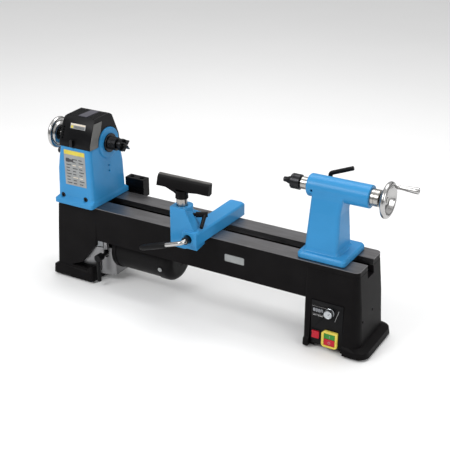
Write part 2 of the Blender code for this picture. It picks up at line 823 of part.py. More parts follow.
def make_tool_holder():
    """A steel rack for the spanner and knock-out bar, bolted to the bed's back."""
    low = BED_HALF + 0.0025
    rack = box("tool_holder", (-0.301, low, 0.150), (-0.279, low + 0.005, 0.204), BLACK)
    spacer = box("rack_spacer", (-0.298, BED_HALF + GAP, 0.184), (-0.282, 0.090, 0.203), BLACK)
    block = box("rack_block", (-0.3245, 0.080, 0.1900), (-0.2685, 0.106, 0.2380), BLACK)
    unite(rack, spacer, block)
    holes = [
        rod(f"rack_hole_{index}", 0.0060, (x, 0.093, 0.215), 0.050, "+Z", BLACK, segments=16)
        for index, x in enumerate((-0.311, -0.282))
    ]
    cut(rack, *holes)


# Tool-rest carriage


def web_section(height, right, rear):
    """A level of the block that joins the post's boss to the arm."""
    left, front = POST_X - 0.0235, POST_Y - 0.0240
    return [
        (left, front + 0.004, height),
        (left + 0.004, front, height),
        (right, front, height),
        (right - 0.006, rear, height),
        (left + 0.006, rear, height),
    ]


def make_banjo():
    low = BED_TOP + GAP
    middle = (ARM_LEFT + ARM_RIGHT) / 2
    half = (ARM_RIGHT - ARM_LEFT) / 2
    wide = (middle - half, middle + half)
    top = (middle - half + 0.003, middle + half - 0.003)
    banjo = stack(
        "banjo_casting",
        [
            (low, wide, (ARM_FRONT, ARM_REAR), (0.003, 0.003, 0.012, 0.006)),
            (ARM_TOP - 0.004, wide, (ARM_FRONT, ARM_REAR), (0.003, 0.003, 0.012, 0.006)),
            (ARM_TOP, top, (ARM_FRONT, ARM_REAR - 0.004), (0.003, 0.003, 0.012, 0.006)),
        ],
        BLUE,
    )
    left, right = POST_X - 0.0235, POST_X + 0.0240
    front, rear = POST_Y - 0.0240, POST_Y + 0.0235
    boss = stack(
        "post_boss",
        [
            (0.1900, (left, right), (front, rear), (0.005, 0.004, 0.016, 0.016)),
            (BOSS_TOP, (left, right), (front, rear), (0.005, 0.004, 0.016, 0.016)),
        ],
        BLUE,
    )
    web = loft(
        "post_web",
        [
            web_section(0.1925, 0.0228, -0.0750),
            web_section(0.2360, 0.0135, -0.0880),
            web_section(BOSS_TOP - 0.0005, right - 0.0010, -0.0930),
        ],
        BLUE,
    )
    gusset = loft(
        "arm_gusset",
        [
            [(-0.058, -0.110, 0.234), (0.0105, -0.110, 0.234), (-0.018, -0.008, 0.234)],
            [(-0.054, -0.110, 0.276), (-0.0160, -0.110, 0.276), (-0.030, -0.082, 0.276)],
        ],
        BLUE,
    )
    unite(banjo, boss, web, gusset)
    post_bore = rod(
        "post_bore", POST_R + 0.0004, (POST_X, POST_Y, 0.180), 0.130, "+Z", BLUE, segments=32
    )
    cam_bore = rod("cam_bore", 0.0095, (BOLT_X, -0.150, CAM_Z), 0.234, "+Y", BLUE)
    slot = box("arm_slot", (BOLT_X - 0.0095, -0.030, 0.190), (BOLT_X + 0.0095, 0.080, CAM_Z), BLUE)
    lock_bore = rod("lock_bore", 0.0045, (POST_X, POST_Y, LOCK_Z), 0.070, "+X", BLUE, segments=16)
    lock_bore.rotation_euler = LOCK_TURN
    cut(banjo, post_bore, cam_bore, slot, lock_bore)


def make_banjo_clamp():
    under = BED_TOP - WAY_THICK - GAP
    plate_part = box("banjo_clamp_plate", (-0.024, -0.040, under - 0.010), (0.020, 0.040, under), STEEL)
    bore = rod("clamp_bore", 0.0056, (BOLT_X, 0, 0.150), 0.080, "+Z", STEEL)
    tongue = box(
        "clamp_tongue", (-0.022, -0.0155, under - 0.002), (0.018, 0.0155, BED_TOP - 0.002), STEEL
    )
    unite(plate_part, tongue)
    cut(plate_part, bore)
    bolt = rod("banjo_clamp_bolt", 0.0050, (BOLT_X, 0, 0.1640), CAM_Z - 0.0078 - 0.1640, "+Z", STEEL)
    nut = rod("clamp_nut", 0.0090, (BOLT_X, 0, 0.1660), 0.0150, "+Z", STEEL, segments=6)
    eye = rod("clamp_eye", 0.0088, (BOLT_X, -0.0070, CAM_Z), 0.0140, "+Y", STEEL)
    eye_bore = rod("eye_bore", 0.0066, (BOLT_X, -0.030, CAM_Z), 0.060, "+Y", STEEL)
    unite(bolt, nut, eye)
    cut(bolt, eye_bore)


def lever_points(plane, pivot_x, pivot_z, degrees):
    """A lever bar from inside the cam shaft's end: out of the bore, then round a bend and along."""
    turn = math.radians(degrees)
    away = Vector((math.cos(turn), 0.0, math.sin(turn)))
    corner = Vector((pivot_x, plane, pivot_z))
    inside = Vector((pivot_x, plane * 0.90, pivot_z))
    far = corner + away * 0.060
    return [inside, *bend(inside, corner, far, 0.010), corner + away * 0.046], away


def make_cam_lever(prefix, plane, pivot_x, pivot_z, degrees, shaft_start, shaft_length):
    """The cam shaft with its bent handle, and the grip on the handle's end."""
    path, away = lever_points(plane, pivot_x, pivot_z, degrees)
    toward = "+Y" if plane < 0 else "-Y"
    shaft = rod(
        prefix + "_cam_lever", 0.0060, (pivot_x, shaft_start, pivot_z), shaft_length, toward, STEEL
    )
    handle = tube(prefix + "_handle", path, 0.0052, STEEL)
    start = (pivot_x, shaft_start, pivot_z)
    collar = rod(prefix + "_cam_collar", 0.0088, start, 0.030, toward, STEEL)
    unite(shaft, handle, collar)
    grip = [
        (0.0, 0.0),
        (0.0062, 0.0),
        (0.0072, 0.0030),
        (0.0074, 0.0400),
        (0.0066, 0.0690),
        (0.0050, 0.0740),
        (0.0, 0.0760),
    ]
    part = turned(prefix + "_lever_grip", grip, (0, 0, 0), "+Z", BLACK_PLASTIC, steps=20)
    part.location = path[-1] + away * GAP
    part.rotation_euler = away.to_track_quat("Z", "Y").to_euler()


def make_tool_rest():
    rod("rest_post", POST_R, (POST_X, POST_Y, 0.2080), 0.0960, "+Z", STEEL, segments=24)
    neck_low, neck_high = 0.3045, 0.3230
    rest = rod(
        "tool_rest", 0.0150, (POST_X, POST_Y, neck_low), neck_high - neck_low, "+Z", BLACK, 0.0140
    )
    left, right = -0.097, 0.039
    web_outline = [
        (left, 0.3300),
        (POST_X - 0.0190, 0.3150),
        (POST_X - 0.0120, 0.3100),
        (POST_X + 0.0120, 0.3100),
        (POST_X + 0.0160, 0.3200),
        (right, 0.3270),
        (right, 0.3480),
        (left, 0.3480),
    ]
    web = plate("rest_web", web_outline, POST_Y - 0.0045, POST_Y + 0.0045, "Y", BLACK)
    blade_section = [
        (POST_Y - 0.0125, 0.3270),
        (POST_Y - 0.0045, 0.3240),
        (POST_Y + 0.0050, 0.3270),
        (POST_Y + 0.0075, 0.3480),
        (POST_Y + 0.0065, 0.3525),
        (POST_Y + 0.0030, 0.3535),
        (POST_Y - 0.0025, 0.3515),
        (POST_Y - 0.0070, 0.3450),
    ]
    blade = plate("rest_blade", blade_section, left, right, "X", BLACK)
    unite(rest, web, blade)


def make_post_lock():
    """The clamping lever that presses a screw against the tool-rest post."""
    hub = rod("post_lock_lever", 0.0066, (0, 0, 0.0310), 0.0270, "+Z", BLACK_PLASTIC)
    screw = rod("lock_screw", 0.0040, (0, 0, 0.0140), 0.0200, "+Z", BLACK_PLASTIC, segments=16)
    arm = rod("lock_handle", 0.0050, (0, 0, 0), 0.0400, "+Z", BLACK_PLASTIC, 0.0042, segments=16)
    for piece in (hub, screw):
        piece.data.transform(Matrix.Translation(piece.location))
        piece.location = (POST_X, POST_Y, LOCK_Z)
        piece.rotation_euler = LOCK_TURN
    outward = Matrix.Rotation(LOCK_ANGLE, 3, "Z") @ Vector((0.0520, 0.0, 0.0))
    elbow = Vector((POST_X, POST_Y, LOCK_Z)) + outward
    tip = Vector((0.0165, -0.0990, 0.2465))
    arm.location = elbow
    arm.rotation_euler = (tip - elbow).to_track_quat("Z", "Y").to_euler()
    unite(hub, arm, screw)


# Tailstock


def make_tailstock():
    low = BED_TOP + GAP
    base = (TAIL_LEFT, TAIL_RIGHT)
    tail = stack(
        "tailstock_casting",
        [
            (low, base, (-0.058, 0.058), (0.012, 0.008, 0.008, 0.012)),
            (0.216, base, (-0.058, 0.058), (0.012, 0.008, 0.008, 0.012)),
            (0.221, (0.2370, 0.346), (-0.055, 0.055), (0.012, 0.008, 0.008, 0.012)),
        ],
        BLUE,
    )
    column = stack(
        "tail_column",
        [
            (0.214, (0.2395, 0.331), (-0.050, 0.044), 0.010),
            (0.228, (0.2450, 0.3240), (-0.044, 0.036), 0.009),
            (0.310, (0.2475, 0.3200), (-0.032, 0.0285), 0.008),
            (0.340, (0.2485, 0.3225), (-0.0262, 0.0256), 0.006),
            (SPINDLE_Z, (0.2455, 0.3300), (-0.0252, 0.0252), 0.004),
        ],
        BLUE,
    )
    barrel = rod(
        "tail_barrel",
        BARREL_R,
        (BARREL_LEFT + 0.003, 0, SPINDLE_Z),
        BARREL_RIGHT - BARREL_LEFT - 0.003,
        "+X",
        BLUE,
        segments=36,
    )
    lip = rod("barrel_lip", 0.0225, (BARREL_LEFT, 0, SPINDLE_Z), 0.0031, "+X", BLUE, 0.0255, segments=28)
    tongue = box("tail_tongue", (0.250, -0.0155, 0.196), (0.335, 0.0155, 0.210), BLUE)
    unite(tail, column, barrel, lip, tongue)
    quill_bore = rod("quill_bore", QUILL_R + 0.0003, (0.200, 0, SPINDLE_Z), 0.160, "+X", BLUE, segments=24)
    screw_bore = rod("screw_bore", 0.0080, (0.340, 0, SPINDLE_Z), 0.060, "+X", BLUE)
    shaft_bore = rod("tail_cam_bore", 0.0095, (TAIL_SHAFT_X, -0.030, CAM_Z), 0.120, "+Y", BLUE)
    well_low = (TAIL_SHAFT_X - 0.0095, -0.012, 0.190)
    well_high = (TAIL_SHAFT_X + 0.0095, 0.012, CAM_Z)
    well = box("bolt_well", well_low, well_high, BLUE)
    lock_bore = rod("quill_lock_bore", 0.0045, (0.264, 0.060, SPINDLE_Z), 0.050, "-Y", BLUE, segments=16)
    key_bore = rod("key_bore", 0.0027, (0.2485, -0.060, SPINDLE_Z - 0.004), 0.050, "+Y", BLUE, segments=12)
    cut(tail, quill_bore, screw_bore, shaft_bore, well, lock_bore, key_bore)


def make_tail_clamp():
    under = BED_TOP - WAY_THICK - GAP
    x = TAIL_SHAFT_X
    clamp = box("tail_clamp_plate", (x - 0.022, -0.040, under - 0.010), (x + 0.022, 0.040, under), STEEL)
    bore = rod("tail_clamp_bore", 0.0054, (x, 0, 0.150), 0.080, "+Z", STEEL)
    cut(clamp, bore)
    bolt = rod("tail_clamp_bolt", 0.0050, (x, 0, 0.1640), CAM_Z - 0.0078 - 0.1640, "+Z", STEEL)
    nut = rod("tail_clamp_nut", 0.0090, (x, 0, 0.1660), 0.0150, "+Z", STEEL, segments=6)
    eye = rod("tail_clamp_eye", 0.0088, (x, -0.0070, CAM_Z), 0.0140, "+Y", STEEL)
    eye_bore = rod("tail_eye_bore", 0.0066, (x, -0.030, CAM_Z), 0.060, "+Y", STEEL)
    unite(bolt, nut, eye)
    cut(bolt, eye_bore)


def make_quill():
    length = 0.1235
    profile = [
        (0.0086, 0.0),
        (QUILL_R - 0.0008, 0.0),
        (QUILL_R, 0.0010),
        (QUILL_R, length),
        (0.0062, length),
        (0.0062, 0.0560),
        (0.0078, 0.0540),
    ]
    quill = turned("tail_quill", profile, (QUILL_FRONT, 0, SPINDLE_Z), "+X", STEEL, ring=True)
    keyway_low = (0.222, -0.0160, SPINDLE_Z - 0.0065)
    keyway_high = (0.300, -0.0120, SPINDLE_Z - 0.0015)
    keyway = box("quill_keyway", keyway_low, keyway_high, STEEL)
    cut(quill, keyway)
    screw = [
        (0.0, 0.0),
        (0.0045, 0.0),
        (0.0055, 0.0010),
        (0.0055, 0.1080),
        (0.0070, 0.1090),
        (0.0070, 0.1190),
        (0.0060, 0.1195),
        (0.0060, 0.1375),
        (0.0, 0.1375),
    ]
    turned("tail_leadscrew", screw, (0.2760, 0, SPINDLE_Z), "+X", STEEL, steps=20)
    sleeve = [
        (0.0184, 0.0),
        (0.0188, 0.0005),
        (0.0188, 0.0180),
        (0.0178, 0.0190),
        (0.0074, 0.0190),
        (0.0074, 0.0),
    ]
    turned("tail_bearing_sleeve", sleeve, (BARREL_RIGHT + GAP, 0, SPINDLE_Z), "+X", STEEL, ring=True)
    body = [
        (0.0, 0.0),
        (0.0070, 0.0),
        (0.0080, 0.0470),
        (0.0125, 0.0473),
        (0.0125, 0.0488),
        (0.0170, 0.0498),
        (0.0172, 0.0512),
        (0.0172, 0.0700),
        (0.0165, 0.0715),
        (0.0106, 0.0715),
        (0.0106, 0.0600),
        (0.0, 0.0600),
    ]
    turned("live_centre_body", body, (0.2625, 0, SPINDLE_Z), "-X", DARK_STEEL, steps=28)
    point = [
        (0.0, 0.0),
        (0.0100, 0.0),
        (0.0100, 0.0145),
        (0.0060, 0.0250),
        (0.0058, 0.0310),
        (0.0, 0.0335),
    ]
    turned("live_centre_point", point, (0.2022, 0, SPINDLE_Z), "-X", DARK_STEEL, steps=24)


def make_tail_wheel():
    handwheel("tail_handwheel", 0.3985, "+X", 0.0060 + GAP, 0.0165)
    turn = math.radians(40)
    away = WHEEL_R - 0.0058
    y, z = away * math.cos(turn), SPINDLE_Z + away * math.sin(turn)
    pin_hole = rod("pin_hole_cut", 0.0030, (0.4065, y, z), 0.030, "+X", CHROME, segments=12)
    cut(bpy.data.objects["tail_handwheel"], pin_hole)
    pin = rod("crank_pin", 0.0026, (0.4085, y, z), 0.0595, "+X", STEEL, segments=12)
    round_edges(pin, 0.0004)
    handle = [
        (0.0029, 0.0),
        (0.0045, 0.0),
        (0.0048, 0.0010),
        (0.0046, 0.0060),
        (0.0060, 0.0260),
        (0.0072, 0.0473),
        (0.0064, 0.0491),
        (0.0029, 0.0491),
    ]
    turned("crank_handle", handle, (0.4215, y, z), "+X", CHROME, steps=20, ring=True)


def make_quill_lock():
    start = BARREL_R + 0.0010
    hub = rod("quill_lock_lever", 0.0080, (0.264, start, SPINDLE_Z), 0.0170, "+Y", BLACK_PLASTIC)
    screw_start = (0.264, 0.0150, SPINDLE_Z)
    screw = rod("quill_lock_screw", 0.0040, screw_start, 0.020, "+Y", BLACK_PLASTIC, segments=16)
    arm = tube(
        "quill_lock_handle",
        [
            (0.264, start + 0.0100, SPINDLE_Z),
            (0.274, start + 0.0120, SPINDLE_Z + 0.0220),
            (0.317, start + 0.0120, SPINDLE_Z + 0.0400),
        ],
        0.0048,
        BLACK_PLASTIC,
    )
    unite(hub, arm, screw)


# Controls on the right leg


def make_controls():
    left, right = 0.2822, 0.3588
    top = 0.1210
    face = PANEL_Y - GAP
    panel = box("control_panel", (left, face - 0.0022, 0.0125), (right, face, top), BLACK_PLASTIC)
    knob_x, knob_z = 0.3276, 0.0993
    shaft_hole = rod("knob_hole", 0.0036, (knob_x, -0.09, knob_z), 0.060, "+Y", BLACK, segments=16)
    display_hole = box("display_hole", (0.2860, -0.09, 0.0925), (0.3130, -0.05, 0.1035), BLACK)
    switch_hole = box("switch_hole", (0.3160, -0.09, 0.0165), (0.3460, -0.05, 0.0485), BLACK)
    rocker_hole = box("rocker_hole", (0.2860, -0.09, 0.0260), (0.3060, -0.05, 0.0480), BLACK)
    cut(panel, shaft_hole, display_hole, switch_hole, rocker_hole)
    box("display_window", (0.2863, face - 0.0030, 0.0928), (0.3127, face - 0.0003, 0.1032), GLASS)
    electronics = box("control_box", (0.2890, -0.0640, 0.0180), (0.3520, -0.0260, 0.1120), BLACK)
    knob_room = rod("knob_room", 0.0046, (knob_x, -0.070, knob_z), 0.020, "+Y", BLACK, segments=16)
    switch_room = box("switch_room", (0.3140, -0.070, 0.0165), (0.3475, -0.0480, 0.0500), BLACK)
    rocker_room = box("rocker_room", (0.2800, -0.070, 0.0250), (0.3070, -0.0520, 0.0490), BLACK)
    cut(electronics, knob_room, switch_room, rocker_room)
    knob = [
        (0.0, 0.0),
        (0.0030, 0.0),
        (0.0030, 0.0100),
        (0.0105, 0.0102),
        (0.0105, 0.0120),
        (0.0092, 0.0230),
        (0.0085, 0.0238),
        (0.0, 0.0238),
    ]
    turned("speed_knob", knob, (knob_x, -0.0630, knob_z), "-Y", ALUMINIUM, steps=28)
    make_switch(face)


def make_switch(face):
    x0, x1, z0, z1 = 0.3115, 0.3500, 0.0135, 0.0540
    front = face - 0.0025
    outline = [
        (x0 + 0.004, z0),
        (x1 - 0.004, z0),
        (x1, z0 + 0.004),
        (x1, z1),
        (x0 + 0.007, z1),
        (x0, z1 - 0.007),
        (x0, z0 + 0.004),
    ]
    frame = plate("switch_frame", outline, front - 0.0060, front, "Y", YELLOW)
    opening = box("switch_opening", (0.3178, -0.09, 0.0185), (0.3448, -0.05, 0.0485), YELLOW)
    cut(frame, opening)
    buttons = (
        ("start_button", 0.0345, 0.0480, GREEN, 0.0050),
        ("stop_button", 0.0190, 0.0340, RED, 0.0065),
    )
    for name, low, high, finish, proud in buttons:
        button = box(name, (0.3182, front - proud, low), (0.3444, -0.0560, high), finish)
        round_edges(button, 0.0010)
    rocker_low = face - 0.0025
    rim_low = (0.2848, rocker_low - 0.0015, 0.0245)
    rim_high = (0.3072, rocker_low, 0.0495)
    bezel = box("rocker_rim", rim_low, rim_high, BLACK_PLASTIC)
    hole = box("bezel_hole", (0.2866, -0.09, 0.0266), (0.3054, -0.05, 0.0474), BLACK)
    cut(bezel, hole)
    rocker_outline = [
        (-0.0770, 0.0280),
        (-0.0755, 0.0370),
        (-0.0770, 0.0460),
        (-0.0640, 0.0440),
        (-0.0640, 0.0300),
    ]
    plate("power_rocker", rocker_outline, 0.2870, 0.3050, "X", RED)


make_bed()
make_feet()
make_headstock()
make_cover()
make_spindle()
make_drive()
make_index_pin()
make_tool_holder()
make_banjo()
make_banjo_clamp()
make_cam_lever("banjo", -LEVER_PLANE, BOLT_X, CAM_Z, 199.0, -0.140, 0.216)
make_tool_rest()
make_post_lock()
make_tailstock()
make_tail_clamp()
make_cam_lever("tail", LEVER_PLANE, TAIL_SHAFT_X, CAM_Z, 262.0, 0.140, 0.166)
make_quill()
make_tail_wheel()
make_quill_lock()
make_controls()
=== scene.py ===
"""Looks for the wood lathe: fine surfaces, materials, floor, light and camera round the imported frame."""

import json
import math

import bmesh
import bpy
from mathutils import Matrix, Vector

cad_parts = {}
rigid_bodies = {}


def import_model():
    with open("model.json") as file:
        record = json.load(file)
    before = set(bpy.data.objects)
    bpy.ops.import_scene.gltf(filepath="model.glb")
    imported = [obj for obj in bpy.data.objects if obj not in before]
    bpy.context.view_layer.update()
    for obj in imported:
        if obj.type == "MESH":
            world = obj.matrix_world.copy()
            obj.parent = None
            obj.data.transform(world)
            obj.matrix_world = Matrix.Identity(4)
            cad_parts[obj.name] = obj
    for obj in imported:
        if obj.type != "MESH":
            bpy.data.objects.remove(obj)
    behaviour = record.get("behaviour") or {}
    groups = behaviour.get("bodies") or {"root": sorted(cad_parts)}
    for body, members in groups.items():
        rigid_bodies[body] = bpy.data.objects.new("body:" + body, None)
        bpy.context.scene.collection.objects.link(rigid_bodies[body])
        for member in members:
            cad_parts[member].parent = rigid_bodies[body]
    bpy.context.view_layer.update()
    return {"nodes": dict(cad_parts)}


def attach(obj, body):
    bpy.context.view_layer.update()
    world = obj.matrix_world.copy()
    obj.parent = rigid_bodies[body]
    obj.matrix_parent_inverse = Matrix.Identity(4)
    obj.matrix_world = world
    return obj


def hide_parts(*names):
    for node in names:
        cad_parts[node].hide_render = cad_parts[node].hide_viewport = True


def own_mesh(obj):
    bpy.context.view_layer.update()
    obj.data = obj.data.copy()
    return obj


for item in list(bpy.data.objects):
    bpy.data.objects.remove(item, do_unlink=True)
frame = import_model()

BED_TOP = 0.206
SPINDLE_Z = 0.358
BED_LEFT, BED_RIGHT = -0.432, 0.386
BED_HALF = 0.065
BED_BOTTOM = 0.118
HEAD_TOP = 0.356
HEAD_FRONT = -0.073
BOLT_X, CAM_Z = -0.004, 0.220
POST_X, POST_Y = -0.0365, -0.097
BOSS_TOP = 0.287
LOCK_Z = 0.262
LOCK_ANGLE = math.radians(32)
LOCK_TURN = (0.0, math.pi / 2, LOCK_ANGLE)
TAIL_SHAFT_X = 0.262
MOTOR_Z = 0.0885
MOTOR_LEFT, CAN_LENGTH = -0.278, 0.136
BRUSH_ANGLE = math.radians(190)
GAP = 0.0003  # between parts that would otherwise touch

ALONG = {
    "+X": (0.0, math.pi / 2, 0.0),
    "-X": (0.0, -math.pi / 2, 0.0),
    "+Y": (-math.pi / 2, 0.0, 0.0),
    "-Y": (math.pi / 2, 0.0, 0.0),
    "+Z": (0.0, 0.0, 0.0),
    "-Z": (math.pi, 0.0, 0.0),
}


# Materials


class Surface:
    """A Principled material with a small graph for colour, roughness and bump."""

    def __init__(self, name, colour, roughness, metallic=0.0, coat=0.0, sheen=0.5):
        self.material = bpy.data.materials.new(name)
        self.material.use_nodes = True
        self.tree = self.material.node_tree
        self.shader = self.tree.nodes["Principled BSDF"]
        self.shader.inputs["Base Color"].default_value = (*colour, 1.0)
        self.shader.inputs["Roughness"].default_value = roughness
        self.shader.inputs["Metallic"].default_value = metallic
        self.shader.inputs["Coat Weight"].default_value = coat
        self.shader.inputs["Specular IOR Level"].default_value = sheen
        self.shader.inputs["Coat Roughness"].default_value = 0.12
        self.colour = colour
        self.roughness = roughness
        self.place = self.node("ShaderNodeTexCoord").outputs["Object"]

    def node(self, kind, **settings):
        made = self.tree.nodes.new(kind)
        for key, value in settings.items():
            setattr(made, key, value)
        return made

    def link(self, output, target):
        self.tree.links.new(output, target)

    def noise(self, scale, detail=3.0, stretch=(1.0, 1.0, 1.0)):
        mapping = self.node("ShaderNodeMapping")
        mapping.inputs["Scale"].default_value = stretch
        self.link(self.place, mapping.inputs["Vector"])
        noise = self.node("ShaderNodeTexNoise")
        noise.inputs["Scale"].default_value = scale
        noise.inputs["Detail"].default_value = detail
        self.link(mapping.outputs["Vector"], noise.inputs["Vector"])
        return noise.outputs["Fac"]

    def ramp(self, value, low, high, start=0.3, end=0.7):
        ramp = self.node("ShaderNodeValToRGB")
        ramp.color_ramp.elements[0].position = start
        ramp.color_ramp.elements[1].position = end
        ramp.color_ramp.elements[0].color = (*low, 1.0)
        ramp.color_ramp.elements[1].color = (*high, 1.0)
        self.link(value, ramp.inputs["Fac"])
        return ramp.outputs["Color"]

    def mix(self, amount, first, second):
        mix = self.node("ShaderNodeMix", data_type="RGBA")
        for socket, value in ((mix.inputs[6], first), (mix.inputs[7], second)):
            if isinstance(value, tuple):
                socket.default_value = (*value, 1.0)
            else:
                self.link(value, socket)
        self.link(amount, mix.inputs[0])
        return mix.outputs[2]

    def tone(self, value, spread):
        """Colour that wanders a little either side of the base colour."""
        low = tuple(max(0.0, part * (1 - spread)) for part in self.colour)
        high = tuple(min(1.0, part * (1 + spread)) for part in self.colour)
        colour = self.ramp(value, low, high)
        self.link(colour, self.shader.inputs["Base Color"])
        return colour

    def gloss(self, value, low, high):
        spread = self.node("ShaderNodeMapRange")
        spread.inputs["To Min"].default_value = low
        spread.inputs["To Max"].default_value = high
        self.link(value, spread.inputs["Value"])
        self.link(spread.outputs["Result"], self.shader.inputs["Roughness"])

    def bump(self, value, strength, distance=0.0002):
        bump = self.node("ShaderNodeBump")
        bump.inputs["Strength"].default_value = strength
        bump.inputs["Distance"].default_value = distance
        self.link(value, bump.inputs["Height"])
        self.link(bump.outputs["Normal"], self.shader.inputs["Normal"])

    def step(self, axis, edge, soft=0.0004, side=1.0):
        """1 above the edge along an axis, 0 below it. Side -1 turns the axis round first."""
        split = self.node("ShaderNodeSeparateXYZ")
        self.link(self.place, split.inputs["Vector"])
        turned_axis = self.node("ShaderNodeMath", operation="MULTIPLY")
        turned_axis.inputs[1].default_value = side
        self.link(split.outputs[axis], turned_axis.inputs[0])
        spread = self.node("ShaderNodeMapRange")
        spread.inputs["From Min"].default_value = edge - soft
        spread.inputs["From Max"].default_value = edge + soft
        self.link(turned_axis.outputs["Value"], spread.inputs["Value"])
        return spread.outputs["Result"]

    def pair(self, operation, first, second):
        both = self.node("ShaderNodeMath", operation=operation)
        self.link(first, both.inputs[0])
        self.link(second, both.inputs[1])
        return both.outputs["Value"]

    def product(self, first, second):
        return self.pair("MULTIPLY", first, second)

    def either(self, first, second):
        return self.pair("MAXIMUM", first, second)


def enamel(name, colour, roughness=0.30, coat=0.25, grain=0.10, sheen=0.30):
    """Sprayed enamel on a casting, with a faint orange peel."""
    paint = Surface(name, colour, roughness, coat=coat, sheen=sheen)
    paint.tone(paint.noise(14.0, 4.0), 0.05)
    paint.gloss(paint.noise(60.0, 3.0), roughness - 0.05, roughness + 0.08)
    paint.bump(paint.noise(420.0, 2.0), grain, 0.0003)
    return paint.material


def plastic(name, colour, roughness=0.42, grain=0.18, scale=1500.0, sheen=0.25):
    """Moulded plastic with a fine spark-eroded grain."""
    skin = Surface(name, colour, roughness, sheen=sheen)
    skin.tone(skin.noise(45.0, 3.0), 0.10)
    skin.gloss(skin.noise(300.0, 3.0), roughness - 0.06, roughness + 0.08)
    skin.bump(skin.noise(scale, 2.0), grain, 0.0002)
    return skin.material


def metal(name, colour, roughness=0.25, stretch=(1.0, 1.0, 1.0), scale=400.0, grain=0.10):
    """Turned or ground metal; stretch squeezes the noise into tool marks."""
    skin = Surface(name, colour, roughness, metallic=1.0)
    marks = skin.noise(scale, 4.0, stretch)
    skin.tone(skin.noise(30.0, 3.0), 0.07)
    skin.gloss(marks, max(0.04, roughness - 0.10), roughness + 0.12)
    skin.bump(marks, grain, 0.0002)
    return skin.material


def bed_finish():
    """Black wrinkle enamel on the casting, with the ways and the sides of their gap ground bare."""
    skin = Surface("black_bed_enamel", (0.0050, 0.0046, 0.0048), 0.50, sheen=0.05)
    tint = skin.ramp(skin.noise(20.0, 4.0), (0.0042, 0.0037, 0.0040), (0.0062, 0.0056, 0.0059))
    streaks = skin.noise(500.0, 4.0, (0.03, 1.0, 1.0))
    cloud = skin.noise(26.0, 4.0, (0.35, 1.0, 1.0))
    ground = skin.ramp(streaks, (0.14, 0.137, 0.142), (0.24, 0.236, 0.242))
    stain = skin.ramp(cloud, (0.0, 0.0, 0.0), (0.55, 0.55, 0.55), 0.42, 0.75)
    stained = skin.mix(stain, ground, (0.10, 0.097, 0.097))
    top = skin.step("Z", 0.2046, 0.0003)
    inner = skin.step("Z", 0.1915, 0.0003)
    for side, edge in ((1.0, -0.0174), (-1.0, -0.0174)):
        inner = skin.product(inner, skin.step("Y", edge, 0.0002, side))
    bare = skin.either(top, inner)
    skin.link(skin.mix(bare, tint, stained), skin.shader.inputs["Base Color"])
    skin.link(bare, skin.shader.inputs["Metallic"])
    rough = skin.mix(bare, (0.45, 0.45, 0.45), (0.38, 0.38, 0.38))
    skin.link(rough, skin.shader.inputs["Roughness"])
    texture = skin.mix(bare, skin.noise(700.0, 3.0), streaks)
    skin.bump(texture, 0.16, 0.0003)
    return skin.material


LOOKS = {
    "blue": enamel("blue_enamel", (0.030, 0.222, 0.470), 0.32, 0.05, sheen=0.20),
    "bed": bed_finish(),
    "black_enamel": enamel("black_enamel", (0.0045, 0.0042, 0.0045), 0.38, 0.0, 0.14, 0.09),
    "black_plastic": plastic("black_plastic", (0.0040, 0.0040, 0.0045), sheen=0.12),
    "cover_plastic": plastic("cover_plastic", (0.0035, 0.0035, 0.0042), 0.34, 0.12, 900.0, 0.12),
    "grey_plastic": plastic("grey_plastic", (0.062, 0.060, 0.075), 0.40),
    "side_grey": plastic("side_grey_plastic", (0.13, 0.13, 0.125), 0.48),
    "rubber": plastic("black_rubber", (0.016, 0.016, 0.016), 0.75, 0.30, 900.0),
    "steel": metal("ground_steel", (0.38, 0.37, 0.35), 0.24, (0.05, 1.0, 1.0)),
    "post_steel": metal("post_steel", (0.34, 0.32, 0.30), 0.22, (1.0, 1.0, 0.05)),
    "black_steel": metal("black_oxide_steel", (0.030, 0.030, 0.032), 0.32),
    "chrome": metal("polished_chrome", (0.46, 0.455, 0.45), 0.20, scale=200.0, grain=0.03),
    "aluminium": metal("machined_aluminium", (0.46, 0.48, 0.50), 0.34, (0.06, 1.0, 1.0)),
    "bright_plate": metal("zinc_plate", (0.26, 0.26, 0.265), 0.34, (1.0, 1.0, 0.3)),
    "yellow": plastic("yellow_plastic", (0.62, 0.50, 0.08), 0.36, 0.08),
    "green": plastic("green_plastic", (0.030, 0.20, 0.030), 0.34, 0.08),
    "red": plastic("red_plastic", (0.42, 0.008, 0.022), 0.34, 0.08),
    "display": plastic("display_glass", (0.010, 0.011, 0.014), 0.10, 0.01),
    "digit": plastic("display_digits", (0.42, 0.44, 0.47), 0.40, 0.05),
    "print_light": plastic("light_print", (0.42, 0.42, 0.42), 0.50, 0.05),
    "label_grey": plastic("label_grey", (0.27, 0.28, 0.28), 0.40, 0.05),
    "label_yellow": plastic("label_yellow", (0.58, 0.48, 0.07), 0.42, 0.05),
    "label_pale": plastic("label_pale", (0.62, 0.55, 0.45), 0.42, 0.05),
    "label_dark": plastic("label_dark", (0.05, 0.05, 0.055), 0.45, 0.05),
}


# Shapes


def repaint(obj, look):
    """Leaves the object with one material, whatever a Boolean brought in."""
    obj.data.materials.clear()
    obj.data.materials.append(LOOKS[look])


def add_piece(name, data, look, place=(0, 0, 0), along="+Z"):
    obj = bpy.data.objects.new(name, data)
    bpy.context.scene.collection.objects.link(obj)
    obj.location = place
    obj.rotation_euler = ALONG[along]
    repaint(obj, look)
    return obj


def from_bmesh(name, shape, look, place=(0, 0, 0), along="+Z"):
    bmesh.ops.recalc_face_normals(shape, faces=shape.faces)
    mesh = bpy.data.meshes.new(name)
    shape.to_mesh(mesh)
    shape.free()
    return add_piece(name, mesh, look, place, along)


def smooth(obj, degrees=32.0):
    obj.data.shade_smooth()
    obj.data.set_sharp_from_angle(angle=math.radians(degrees))
    return obj


